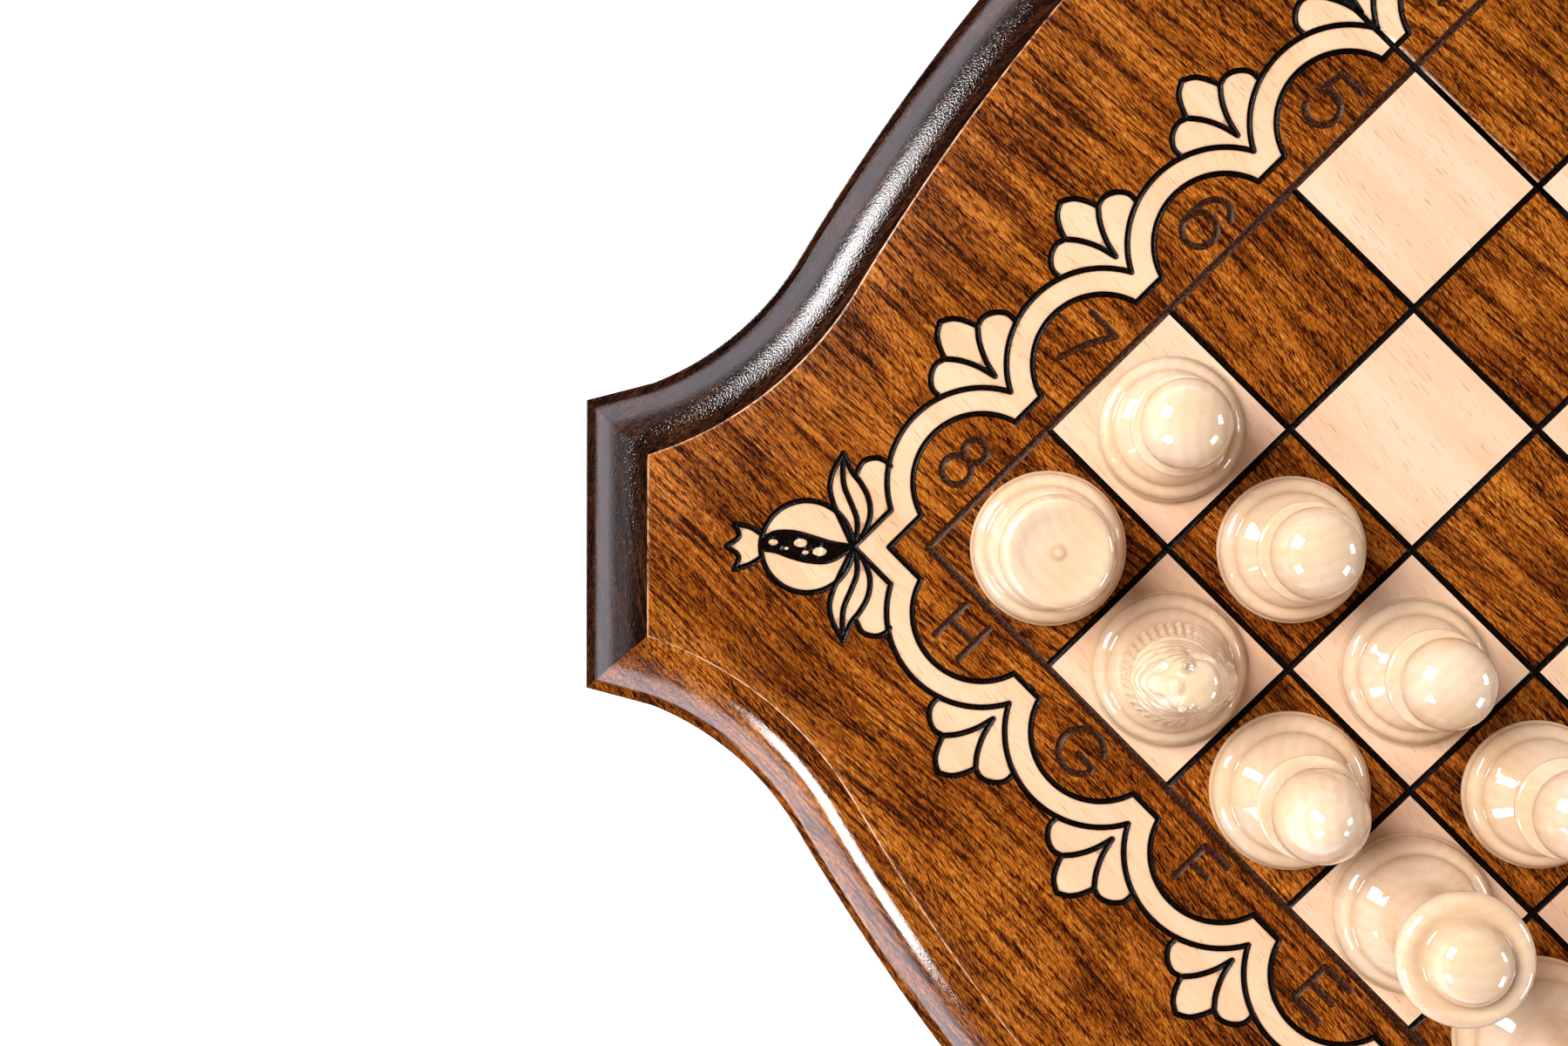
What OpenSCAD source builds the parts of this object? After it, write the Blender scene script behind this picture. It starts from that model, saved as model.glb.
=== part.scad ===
// Folding wooden chess board with its thirty-two turned chess pieces.
// The board is a hinged case in two halves, opened flat with the playing face up.
// It is centred on the origin and stands on z = 0. X runs along a rank, from file H
// at -X to file A at +X. Y runs along a file, from rank 8 at -Y to rank 1 at +Y.
// Half a is the -Y half with ranks 8 to 5, half b is the +Y half with ranks 4 to 1.

/* [Board outline] */
// Side of one square of the playing field
square = 40; // [38:0.5:41]
// Half width of the board at the middle of a side
side_apex = 249.5; // [246:0.5:254]
// Half width at the bottom of the hollow near each corner
side_dip = 230.7; // [228:0.1:234]
// Distance of that hollow from the middle of the side
dip_at = 150.5; // [146:0.5:156]
// Radius of that hollow
hollow_r = 72.5; // [66:0.5:80]
// Where the clipped corners cut: x plus y on the corner face
clip_reach = 440.7; // [437:0.1:443]

/* [Case] */
// Height of one half, from its rim to the playing face
case_h = 38; // [36:0.5:44]
// Thickness of the playing panel
panel_t = 12; // [10:0.5:14]
// Width of the moulded edge around the panel
edge_w = 17.5; // [16:0.5:20]
// Width of the narrow ledge at the foot of the moulding
ledge_w = 1.9; // [1:0.1:2.5]
// Height that the moulding falls from the playing face to the ledge
edge_drop = 13.5; // [12:0.5:15]
// Height of the small step between the panel and the moulding
step_h = 0.8; // [0.4:0.1:1.2]
// Radius of the rounded swell of the moulding
swell_r = 15.8; // [15:0.1:16.5]
// Width of the rebate that carries the panel
rebate_w = 4; // [3:0.5:6]
// Gap between the two halves at the fold
seam_gap = 1; // [0.8:0.1:1.6]
// Bevel of the panel along the fold
seam_bevel = 0.6; // [0.3:0.1:1]
// Thickness of the spine rail beside the fold
spine_t = 12; // [10:0.5:14]
// Width of the engraved lines of the playing field
line_w = 1.4; // [0.8:0.1:2]
// Depth of the engraved lines
line_depth = 0.6; // [0.3:0.1:1]
// Thickness of the felt inside the case
lining_t = 1; // [0.8:0.1:2]

/* [Hinges and magnets] */
// Radius of a hinge knuckle
knuckle_r = 1.5; // [1.4:0.1:1.8]
// Radius of a hinge pin
pin_r = 0.7; // [0.6:0.05:0.8]
// Length of a hinge
hinge_l = 45; // [35:1:55]
// Width of a hinge leaf, from the hinge line
leaf_w = 9; // [8:0.5:10]
// Thickness of a hinge leaf
leaf_t = 1.2; // [1:0.1:1.5]
// Distance of each hinge from the middle of the board
hinge_at = 130; // [90:5:150]
// Gap left between the two rims when the case is shut
shut_gap = 0.5; // [0.4:0.1:1]
// Radius of a closing magnet
magnet_r = 4; // [3:0.5:5]
// Height of a closing magnet
magnet_h = 3; // [2:0.5:4]
// Distance of each magnet from the middle of the outer rail
magnet_at = 60; // [40:5:90]

/* [Chess pieces] */
// Foot radius of a pawn
pawn_foot = 17.3; // [16.5:0.1:18]
// Foot radius of a rook
rook_foot = 18.4; // [17.5:0.1:19]
// Foot radius of a knight
knight_foot = 18.4; // [17.5:0.1:19]
// Foot radius of a bishop
bishop_foot = 18.7; // [18:0.1:19.2]
// Foot radius of the king and the queen
royal_foot = 19; // [18:0.1:19.5]
// Thickness of the felt under each piece
foot_felt = 1.2; // [0.8:0.1:1.6]

/* [Hidden] */
$fn = 96;
FILES = ["h", "g", "f", "e", "d", "c", "b", "a"];
OFFICERS = ["rook", "knight", "bishop", "queen", "king", "bishop", "knight", "rook"];
CASE_PARTS = [
    "top_panel", "outer_rail", "left_rail", "right_rail", "left_corner_rail", "right_corner_rail",
    "spine_rail", "felt_lining", "magnets", "hinge_leaves", "hinge_screws"
];

function officer_name(side, rank, i) = str(side, "_", OFFICERS[i], "_", FILES[i], rank);
function pawn_name(side, rank, i) = str(side, "_pawn_", FILES[i], rank);
function head_name(side, rank, i) = str(side, "_knight_head_", FILES[i], rank);

MOULDING = "#4e2a15";
FIELD = "#8b4f22";
LINING = "#2f4f37";
BRASS = "#b08d3f";
STEEL = "#a9abad";
LIGHT_WOOD = "#ecd5a8";
DARK_WOOD = "#3f2012";

axis_z = knuckle_r;
rim_z = axis_z + shut_gap / 2;
top_z = rim_z + case_h;
panel_z = case_h - panel_t;
ledge_z = case_h - edge_drop;
inner_d = edge_w + rebate_w;
field_r = 4 * square;
cut = 0.2;

// ---- Outline of one side, as points [along, out] from the middle of the board ----
// A wide bow in the middle runs into a hollow at each end, and the hollow ends at a
// mitre with the clipped corner. Every function takes d, the distance in from the edge.

hollow_c = [dip_at, side_dip + hollow_r];
bow_r = (dip_at ^ 2 + (hollow_c.y - side_apex) ^ 2 - hollow_r ^ 2) / (2 * (side_apex - side_dip));
bow_c = side_apex - bow_r;
bend = asin(dip_at / (bow_r + hollow_r));
bow_steps = 8;
hollow_steps = 9;
hollow_end = 24;

function bow_point(d, a) = [(bow_r - d) * sin(a), bow_c + (bow_r - d) * cos(a)];
function bow_cut(d, t) = [t, bow_c + sqrt((bow_r - d) ^ 2 - t ^ 2)];
function hollow_point(d, a) = hollow_c + (hollow_r + d) * [sin(a), -cos(a)];

// The true corner at inset d: where the hollow meets the clipped corner's line.
function corner(d) =
    let(q = (hollow_c.x + hollow_c.y - clip_reach) / sqrt(2) + d, r = hollow_r + d)
    hollow_c - q / sqrt(2) * [1, 1] + sqrt(r ^ 2 - q ^ 2) / sqrt(2) * [1, -1];

mitre_from = corner(0);
mitre_dir = (corner(edge_w) - mitre_from) / norm(corner(edge_w) - mitre_from);

// The mitre is the straight line through the corners of the edge and of the panel.
function hollow_mitre(d) =
    let(v = mitre_from - hollow_c, b = v * mitre_dir)
    mitre_from + mitre_dir * (sqrt(b ^ 2 + (hollow_r + d) ^ 2 - v * v) - b);
function clip_mitre(d) = mitre_from - mitre_dir * d * sqrt(2) / (mitre_dir.x + mitre_dir.y);

// Half a side, from t along the side out to the mitre.
function half_side(d, t) = concat(
    [bow_cut(d, t)],
    [for (i = [1:bow_steps]) bow_point(d, bend * i / bow_steps)],
    [for (i = [1:hollow_steps]) hollow_point(d, -bend + (bend + hollow_end) * i / hollow_steps)],
    [hollow_mitre(d)]
);

function flip(points) = [for (i = [len(points) - 1:-1:0]) [-points[i].x, points[i].y]];
function whole_side(d) = concat(flip(half_side(d, cut)), half_side(d, cut));

// Outline of half a at inset d, closed along the fold.
function half_outline(d) = concat(
    [for (p = half_side(d, seam_gap / 2)) [p.y, -p.x]],
    [for (p = flip(whole_side(d))) [-p.x, -p.y]],
    [for (p = flip(half_side(d, seam_gap / 2))) [-p.y, p.x]]
);

// ---- Rails ----

// Slopes of the swell where it leaves the bevel and where it meets the step.
swell_slopes = [49, 4.8];
swell_steps = 8;
swell_c = [
    edge_w + swell_r * sin(swell_slopes[1]),
    case_h - step_h - swell_r * cos(swell_slopes[1])
];

// Section of a rail, as points [inset, height above the rim]: ledge, bevel and swell.
rail_section = concat(
    [[0, 0], [0, ledge_z], [ledge_w, ledge_z]],
    arc(swell_c, [swell_r, swell_r], 90 + swell_slopes[0], 90 + swell_slopes[1], swell_steps),
    [[edge_w, panel_z], [inner_d, panel_z], [inner_d, 0]]
);

// A solid through a list of stations, each with one point for every section point.
module swept(stations) {
    n = len(stations[0]);
    last = len(stations) - 1;
    points = [for (s = stations) each s];
    start_cap = [for (i = [n - 1:-1:0]) i];
    end_cap = [for (i = [0:n - 1]) last * n + i];
    skin = [for (s = [0:last - 1]) for (i = [0:n - 1])
        let(a = s * n + i, b = s * n + (i + 1) % n)
        each [[a, b, b + n], [a, b + n, a + n]]];
    polyhedron(points, concat([start_cap, end_cap], skin), convexity = 6);
}

// Stations for a rail whose run of points at inset d is side_lists[k] for section point k.
function stations(side_lists) = [for (s = [0:len(side_lists[0]) - 1])
    [for (k = [0:len(rail_section) - 1])
        [side_lists[k][s].x, side_lists[k][s].y, rail_section[k].y]]];

module side_rail() {
    rotate(-90) swept(stations([for (p = rail_section) half_side(p.x, seam_gap / 2)]));
}

module outer_rail() {
    difference() {
        rotate(180) swept(stations([for (p = rail_section) whole_side(p.x)]));
        magnet_places() translate([0, 0, -cut]) cylinder(r = magnet_r + 0.05, h = magnet_h + cut);
    }
}

module corner_rail() {
    swept(stations([for (p = rail_section)
        let(m = clip_mitre(p.x)) [[m.y, -m.x], [m.x, -m.y]]]));
}

module spine_rail() {
    reach = half_side(inner_d, seam_gap / 2)[1].y;
    difference() {
        translate([-reach, -seam_gap / 2 - spine_t, 0]) cube([2 * reach, spine_t, panel_z]);
        hinge_places() leaf_mortise();
        screw_places() translate([0, 0, -cut]) cylinder(r = screw_r + 0.05, h = screw_l + cut);
    }
}

// ---- Playing panel and lining ----

module field_lines() {
    for (i = [-4:4]) {
        translate([i * square - line_w / 2, -field_r - line_w / 2, 0])
            cube([line_w, field_r + line_w, line_depth + cut]);
    }
    for (i = [-4:-1]) {
        translate([-field_r - line_w / 2, i * square - line_w / 2, 0])
            cube([2 * field_r + line_w, line_w, line_depth + cut]);
    }
}

module top_panel() {
    bevel = seam_bevel * sqrt(2);
    difference() {
        translate([0, 0, panel_z]) linear_extrude(panel_t) polygon(half_outline(edge_w));
        translate([0, 0, case_h - line_depth]) field_lines();
        translate([-side_apex, -seam_gap / 2, case_h]) rotate([45, 0, 0])
            translate([0, -bevel / 2, -bevel / 2]) cube([2 * side_apex, bevel, bevel]);
    }
}

module felt_lining() {
    clearance = 0.5;
    translate([0, 0, panel_z - lining_t]) difference() {
        linear_extrude(lining_t) polygon(half_outline(inner_d + clearance));
        translate([-side_apex, -seam_gap / 2 - spine_t - clearance, -cut])
            cube([2 * side_apex, spine_t + 2, lining_t + 2 * cut]);
    }
}

// ---- Hinges, screws and magnets. Heights are above the rim ----

knuckles = 5;
knuckle_l = hinge_l / knuckles;
screw_r = 0.9;
screw_head_r = 2;
screw_head_h = 1;
screw_l = 9;
screw_pitch = 15;
knuckle_room = 0.4;

module hinge_places() {
    for (x = [-hinge_at, hinge_at]) {
        translate([x, 0, 0]) children();
    }
}

module screw_places() {
    hinge_places() for (x = [-screw_pitch, 0, screw_pitch]) {
        translate([x, -(leaf_w + knuckle_r) / 2, 0]) children();
    }
}

module magnet_places() {
    for (x = [-magnet_at, magnet_at]) {
        translate([x, -bow_cut(edge_w * 0.6, magnet_at).y, 0]) children();
    }
}

module leaf_mortise() {
    length = hinge_l + knuckle_room;
    room = knuckle_r + knuckle_room;
    translate([-length / 2, -leaf_w, -cut]) cube([length, leaf_w + cut, leaf_t + cut]);
    translate([-length / 2, -room, -cut]) cube([length, room + cut, room + cut]);
}

// One leaf with its own knuckles: the odd ones for one half, the even ones for the other.
module hinge_leaf(first) {
    play = 0.1;
    edge = knuckle_r + knuckle_room;
    difference() {
        union() {
            translate([-hinge_l / 2, -leaf_w, 0]) cube([hinge_l, leaf_w - edge, leaf_t]);
            for (k = [first:2:knuckles - 1]) {
                translate([-hinge_l / 2 + k * knuckle_l + play, 0, 0]) {
                    translate([0, -edge, 0]) cube([knuckle_l - 2 * play, edge, leaf_t]);
                    translate([0, 0, axis_z - rim_z]) rotate([0, 90, 0])
                        cylinder(r = knuckle_r, h = knuckle_l - 2 * play);
                }
            }
        }
        translate([-hinge_l / 2 - cut, 0, axis_z - rim_z]) rotate([0, 90, 0])
            cylinder(r = pin_r + 0.05, h = hinge_l + 2 * cut);
    }
}

module hinge_leaves(first) {
    difference() {
        hinge_places() hinge_leaf(first);
        screw_places() translate([0, 0, -cut]) cylinder(r = screw_r + 0.1, h = leaf_t + 2 * cut);
        screw_places() screw_head(0.1);
    }
}

module screw_head(room) {
    cylinder(r1 = screw_head_r + room, r2 = screw_r + room, h = screw_head_h);
}

module hinge_screws() {
    screw_places() {
        screw_head(0);
        cylinder(r = screw_r, h = screw_l);
    }
}

module hinge_pins() {
    hinge_places() translate([-hinge_l / 2, 0, axis_z]) rotate([0, 90, 0])
        cylinder(r = pin_r, h = hinge_l);
}

module magnets() {
    magnet_places() cylinder(r = magnet_r, h = magnet_h);
}

// ---- Chess pieces. Heights are above the playing face ----

// Points of an elliptic arc about c, with radii r, from angle a0 to a1.
function arc(c, r, a0, a1, n) = [for (i = [0:n])
    let(a = a0 + (a1 - a0) * i / n) [c.x + r.x * cos(a), c.y + r.y * sin(a)]];

// The ogee shoulder, as shares of its way in and up.
SHOULDER = [[0, 0], [0.12, 0.2], [0.46, 0.46], [0.82, 0.72], [1, 1]];
rim_h = 2.2;
rim_setback = 0.6;
bead_setback = 0.75;
fillet = 0.5;

// The thin rim of the foot, its rounded bead and the shoulder above it.
function foot_points(foot, bead_h, shoulder_r, shoulder_h, neck_r) = concat(
    [
        [0, foot_felt], [foot - rim_setback, foot_felt],
        [foot, foot_felt + rim_h / 2], [foot - rim_setback, foot_felt + rim_h]
    ],
    arc([shoulder_r, foot_felt + rim_h], [foot - bead_setback - shoulder_r, bead_h - rim_h + 0.3],
        5, 84, 6),
    [for (p = SHOULDER) [
        shoulder_r - (shoulder_r - neck_r) * p.x,
        foot_felt + bead_h + fillet + shoulder_h * p.y
    ]]
);

module turned(foot, points) {
    cylinder(r = foot - 1.2, h = foot_felt);
    rotate_extrude() polygon(points);
}

module pawn() {
    turned(pawn_foot, concat(
        foot_points(pawn_foot, 5, 13.6, 8, 6.9),
        [[6.7, 16.4], [6.7, 18.4], [7, 20.2], [7.7, 21.4]],
        arc([9.8, 23], [1.7, 1.3], -70, 70, 4),
        [[8.4, 24.8]],
        arc([0, 32.3], [10.2, 10.2], -45, 90, 10)
    ));
}

module rook() {
    turned(rook_foot, concat(
        foot_points(rook_foot, 5.6, 14.7, 7.4, 9.6),
        [[9.3, 16.4], [9, 19.5], [9, 24], [9.7, 29.5], [11, 32.2]],
        arc([9.9, 37.4], [2.9, 5], -62, 30, 6),
        [[11.7, 42.1], [10.7, 43], [9.4, 42.9], [7.4, 42.2], [5, 41.9], [0, 42]]
    ));
}

module bishop() {
    turned(bishop_foot, concat(
        foot_points(bishop_foot, 5.6, 14.3, 8.4, 7.6),
        [[7.1, 17.6], [6.7, 20], [6.7, 22.2], [7.2, 24.2], [8.6, 25.8]],
        arc([10.4, 27.4], [1.5, 1.2], -65, 65, 4),
        [[8.3, 29], [8.6, 29.9], [10, 33.4], [10.4, 37.6], [9.6, 43], [7.2, 48], [4, 51.8]],
        [[1.9, 53.3], [0, 54]]
    ));
}

module queen() {
    turned(royal_foot, concat(
        foot_points(royal_foot, 7, 14.9, 8.8, 8.6),
        [[8.1, 19], [7.5, 22], [6.9, 25.5], [6.6, 30], [6.8, 35], [8, 39.4], [10.6, 42.6]],
        arc([11.9, 46.4], [2.6, 3.2], -50, 96, 7),
        [[10.3, 49.2], [9.4, 49.4], [8.8, 50.6], [8.2, 53.2], [6.2, 56.1], [3.2, 57.6], [0, 58]]
    ));
}

module king() {
    turned(royal_foot, concat(
        foot_points(royal_foot, 7, 14.9, 8.8, 8.6),
        [[8.2, 19], [7.7, 22], [7, 27], [6.8, 33], [7.2, 39], [8.6, 43.6], [10.8, 46.4]],
        arc([11.2, 49.6], [2.2, 2.4], -45, 80, 6),
        [[9.4, 52.2]],
        arc([0, 51.4], [9.2, 6.2], 10, 74, 4),
        [[2.1, 58.2]],
        arc([0, 62], [4, 4], -55, 90, 6)
    ));
}

knight_seat = 15.6;

module knight() {
    turned(knight_foot, concat(
        foot_points(knight_foot, 5.6, 14.6, 6.4, 11),
        [[11.6, 14], [11.7, 15], [11.2, knight_seat], [0, knight_seat]]
    ));
}

// Side view of the knight's head, as points [forward, up] above its seat.
head_side = [
    [-12.4, 0], [-11.9, 3], [-11.2, 9], [-10.7, 15], [-10, 18.5], [-8.6, 21.5], [-6.4, 25.5],
    [-4, 28.8], [-2.6, 31.1], [-1, 29.6], [3, 28.2], [6.4, 26.6], [9, 23.4], [10.8, 20],
    [11.4, 16.5], [10.4, 13.4], [8, 12.4], [6, 13], [5.4, 10.4], [7.6, 7.8], [10.8, 6.2], [12, 3],
    [12.4, 0]
];
// Half of its front view, as points [sideways, up].
head_front = [[12, 0], [11.1, 4], [9.6, 9], [8, 15], [6.8, 21], [5.8, 27], [5.5, 31.1]];
head_h = 31.1;
head_w = 2 * head_front[0].x;

// The head is cut from a turned blank and looks along +Y.
module knight_head() {
    intersection() {
        rotate([90, 0, 90]) translate([0, 0, -head_w / 2]) linear_extrude(head_w) polygon(head_side);
        rotate([90, 0, 0]) translate([0, 0, -head_w]) linear_extrude(2 * head_w)
            polygon(concat(head_front, flip(head_front)));
        cylinder(r1 = 13, r2 = 11.8, h = head_h);
    }
}

// ---- Placing ----

module half_a(shade) {
    color(shade) translate([0, 0, rim_z]) children();
}

module half_b(shade) {
    color(shade) translate([0, 0, rim_z]) mirror([0, 1, 0]) children();
}

function file_x(i) = (i - 3.5) * square;
function rank_y(rank) = (4.5 - rank) * square;

module officer(kind) {
    if (kind == "rook") rook();
    if (kind == "knight") knight();
    if (kind == "bishop") bishop();
    if (kind == "queen") queen();
    if (kind == "king") king();
}

module on_square(i, rank) {
    translate([file_x(i), rank_y(rank), top_z]) children();
}

// The knight on g8 is turned towards the corner of the board.
function head_turn(i, rank) = rank < 5 ? 180 : FILES[i] == "g" ? -45 : 0;

module head_on_square(i, rank) {
    on_square(i, rank) translate([0, 0, knight_seat]) rotate(head_turn(i, rank)) knight_head();
}

half_a(FIELD) top_panel();  // top_panel_a
half_a(MOULDING) outer_rail();  // outer_rail_a
half_a(MOULDING) mirror([1, 0, 0]) side_rail();  // left_rail_a
half_a(MOULDING) side_rail();  // right_rail_a
half_a(MOULDING) mirror([1, 0, 0]) corner_rail();  // left_corner_rail_a
half_a(MOULDING) corner_rail();  // right_corner_rail_a
half_a(MOULDING) spine_rail();  // spine_rail_a
half_a(LINING) felt_lining();  // felt_lining_a
half_a(STEEL) magnets();  // magnets_a
half_a(BRASS) hinge_leaves(0);  // hinge_leaves_a
half_a(BRASS) hinge_screws();  // hinge_screws_a

half_b(FIELD) top_panel();  // top_panel_b
half_b(MOULDING) outer_rail();  // outer_rail_b
half_b(MOULDING) mirror([1, 0, 0]) side_rail();  // left_rail_b
half_b(MOULDING) side_rail();  // right_rail_b
half_b(MOULDING) mirror([1, 0, 0]) corner_rail();  // left_corner_rail_b
half_b(MOULDING) corner_rail();  // right_corner_rail_b
half_b(MOULDING) spine_rail();  // spine_rail_b
half_b(LINING) felt_lining();  // felt_lining_b
half_b(STEEL) magnets();  // magnets_b
half_b(BRASS) hinge_leaves(1);  // hinge_leaves_b
half_b(BRASS) hinge_screws();  // hinge_screws_b

color(BRASS) hinge_pins();

for (i = [0:7]) {
    color(LIGHT_WOOD) on_square(i, 8) officer(OFFICERS[i]);
    color(LIGHT_WOOD) on_square(i, 7) pawn();
    color(DARK_WOOD) on_square(i, 1) officer(OFFICERS[i]);
    color(DARK_WOOD) on_square(i, 2) pawn();
}

for (i = [1, 6]) {
    color(LIGHT_WOOD) head_on_square(i, 8);
    color(DARK_WOOD) head_on_square(i, 1);
}
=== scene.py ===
"""Looks of the folding wooden chess board and its thirty-two turned pieces.

Lengths are in millimetres until a mesh is made, and every mesh is in metres in the row frame:
the board is centred on the origin, X runs from file H to file A, Y from rank 8 to rank 1, and
the playing face looks up. Half a is the -Y half with the light set, half b the +Y half.
"""

import math

import bmesh
import bpy
import numpy as np
from mathutils import Matrix, Vector
from mathutils.geometry import delaunay_2d_cdt


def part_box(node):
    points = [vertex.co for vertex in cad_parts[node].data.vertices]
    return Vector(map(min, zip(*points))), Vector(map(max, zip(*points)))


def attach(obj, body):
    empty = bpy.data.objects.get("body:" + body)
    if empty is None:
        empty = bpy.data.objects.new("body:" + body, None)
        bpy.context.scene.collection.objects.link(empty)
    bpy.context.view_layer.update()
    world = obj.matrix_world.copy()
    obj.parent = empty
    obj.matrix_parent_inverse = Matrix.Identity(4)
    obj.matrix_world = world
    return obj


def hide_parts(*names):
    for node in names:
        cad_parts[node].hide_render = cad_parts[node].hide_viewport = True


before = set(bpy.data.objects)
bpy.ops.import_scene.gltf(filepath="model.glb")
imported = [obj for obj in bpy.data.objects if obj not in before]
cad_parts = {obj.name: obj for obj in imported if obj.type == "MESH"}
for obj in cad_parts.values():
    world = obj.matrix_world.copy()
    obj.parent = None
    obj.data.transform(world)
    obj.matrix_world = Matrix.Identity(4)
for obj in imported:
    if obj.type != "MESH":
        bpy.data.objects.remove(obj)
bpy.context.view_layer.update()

MM = 0.001

# ---- Dimensions of the board, in millimetres ----

SQUARE = 40.0
FIELD = 4 * SQUARE
SIDE_APEX = 249.5
SIDE_DIP = 230.7
DIP_AT = 150.5
HOLLOW_R = 72.5
CLIP_REACH = 440.7
EDGE_W = 17.5
LEDGE_W = 1.9
EDGE_DROP = 13.5
STEP_H = 0.8
SWELL_R = 15.8
SWELL_TILTS = (4.8, 49.0)
REBATE_W = 4.0
SEAM_GAP = 1.0
SEAM_BEVEL = 0.6
ARRIS = 0.7
ARRIS_DROP = 0.35
LINING_T = 1.0
SPINE_T = 12.0
CASE_H = 38.0
PANEL_T = 12.0
FOOT_FELT = 1.2
ROOT_2 = math.sqrt(2)
TINY = 0.01

TOP_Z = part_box("top_panel_a")[1].z / MM
RIM_Z = TOP_Z - CASE_H
PANEL_Z = TOP_Z - PANEL_T
LEDGE_Z = TOP_Z - EDGE_DROP
INNER_D = EDGE_W + REBATE_W

FILES = "hgfedcba"
OFFICERS = ["rook", "knight", "bishop", "queen", "king", "bishop", "knight", "rook"]


# ---- Outline of one side, as points (along, out) at inset d, as in the CAD source ----
# Angles are in degrees.

BOW_STEPS = 26
HOLLOW_STEPS = 30
HOLLOW_END = 24
BESIDE_MIDDLE = 0.4

hollow_c = np.array([DIP_AT, SIDE_DIP + HOLLOW_R])
bow_r = (DIP_AT**2 + (hollow_c[1] - SIDE_APEX) ** 2 - HOLLOW_R**2) / (2 * (SIDE_APEX - SIDE_DIP))
bow_c = SIDE_APEX - bow_r
bend = math.degrees(math.asin(DIP_AT / (bow_r + HOLLOW_R)))


def clip_corner(d):
    """The corner at inset d, where the hollow meets the clipped corner's line."""
    q = (hollow_c.sum() - CLIP_REACH) / ROOT_2 + d
    r = HOLLOW_R + d
    away = np.array([1, -1]) * math.sqrt(r**2 - q**2) / ROOT_2
    return hollow_c - q / ROOT_2 + away


mitre_from = clip_corner(0)
mitre_dir = clip_corner(EDGE_W) - mitre_from
mitre_dir /= np.linalg.norm(mitre_dir)


def hollow_mitre(d):
    """Where the hollow at inset d meets the mitre."""
    v = mitre_from - hollow_c
    b = v @ mitre_dir
    return mitre_from + mitre_dir * (math.sqrt(b**2 + (HOLLOW_R + d) ** 2 - v @ v) - b)


def clip_mitre(d):
    """Where the clipped edge at inset d meets the mitre."""
    return mitre_from - mitre_dir * d * ROOT_2 / mitre_dir.sum()


def half_side(d, start):
    """Points from `start` along the side out to the mitre, at inset d."""
    bow, hollow = bow_r - d, HOLLOW_R + d
    return joined(
        [(start, bow_c + math.sqrt(bow**2 - start**2))],
        arc(0, bow_c, bow, bow, 90, 90 - bend, BOW_STEPS)[1:],
        arc(*hollow_c, hollow, hollow, -90 - bend, HOLLOW_END - 90, HOLLOW_STEPS)[1:],
        [hollow_mitre(d)],
    )


def whole_side(d):
    """Points from mitre to mitre, at inset d."""
    half = half_side(d, BESIDE_MIDDLE)
    return np.concatenate([half[::-1] * (-1, 1), half])


def half_outline(d):
    """Closed outline of half a at inset d, counterclockwise from the -X end of the fold."""
    side = half_side(d, SEAM_GAP / 2)[:, ::-1]
    return np.concatenate([-side, whole_side(d) * (1, -1), side[::-1] * (1, -1)])


# ---- Curves ----

RING_STEP = 0.8


def smooth(points, step=0.9):
    """A Catmull-Rom curve through the points, with a point about every `step`."""
    p = np.array(points, float)
    p = np.concatenate([[2 * p[0] - p[1]], p, [2 * p[-1] - p[-2]]])
    out = [p[1:2]]
    for before, a, b, after in zip(p, p[1:], p[2:], p[3:]):
        move = np.diff([before, a, b, after], axis=0)
        gap = np.sqrt(np.linalg.norm(move, axis=1))[:, None]
        slope = move / gap
        leave = gap[1] * (slope[0] - (b - before) / (gap[0] + gap[1]) + slope[1])
        reach = gap[1] * (slope[1] - (after - a) / (gap[1] + gap[2]) + slope[2])
        n = max(2, round(np.linalg.norm(b - a) / step))
        t = (np.arange(1, n + 1) / n)[:, None]
        ease = 3 * t**2 - 2 * t**3
        out.append((1 - ease) * a + (t**3 - 2 * t**2 + t) * leave + ease * b + (t**3 - t**2) * reach)
    return np.concatenate(out)


def arc(cx, cy, rx, ry, start, end, n):
    """Points on an ellipse about (cx, cy), from one angle in degrees to another."""
    a = np.radians(np.linspace(start, end, n + 1))
    return np.stack([cx + rx * np.cos(a), cy + ry * np.sin(a)], 1)


def ring(cx, cy, r, start=0, end=360):
    """A circle or part of one, with a point about every RING_STEP."""
    n = max(8, int(abs(end - start) / 360 * 2 * math.pi * r / RING_STEP))
    return arc(cx, cy, r, r, start, end, n)


def joined(*parts):
    """Several runs of points as one."""
    return np.concatenate([np.array(p, float) for p in parts])


def spaced(points, least):
    """The points without those that follow too closely on the last one kept."""
    keep = [points[0]]
    for p in points[1:]:
        if np.linalg.norm(p - keep[-1]) > least:
            keep.append(p)
    return np.array(keep)


def tube_faces(rings, n):
    """Faces between rings of n vertices each."""
    return [
        (r * n + k, r * n + (k + 1) % n, (r + 1) * n + (k + 1) % n, (r + 1) * n + k)
        for r in range(rings - 1) for k in range(n)
    ]


def solid_faces(rings, n):
    """Faces between rings of n vertices each, with both ends closed."""
    ends = [tuple(range(n))[::-1], tuple(range((rings - 1) * n, rings * n))]
    return tube_faces(rings, n) + ends


# ---- Carved ornament: a scalloped band, palmettes and corner fruit ----
# A side's frame has t along the side from a grid line and o out from the playing field.

ARCH_O = 2.0
ARCH_IN = 16.4
ARCH_OUT = 22.6
FLAT_O = 6.6
CORNER_O = 12.6


def arch(r, foot_o):
    """One arch of the band over a square, from its foot on one side to the other."""
    start = math.degrees(math.asin((foot_o - ARCH_O) / r))
    return arc(SQUARE / 2, ARCH_O, r, r, 180 - start, start, 40)


CUSP_O = ARCH_O + math.sqrt(ARCH_OUT**2 - (SQUARE / 2) ** 2)

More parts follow.
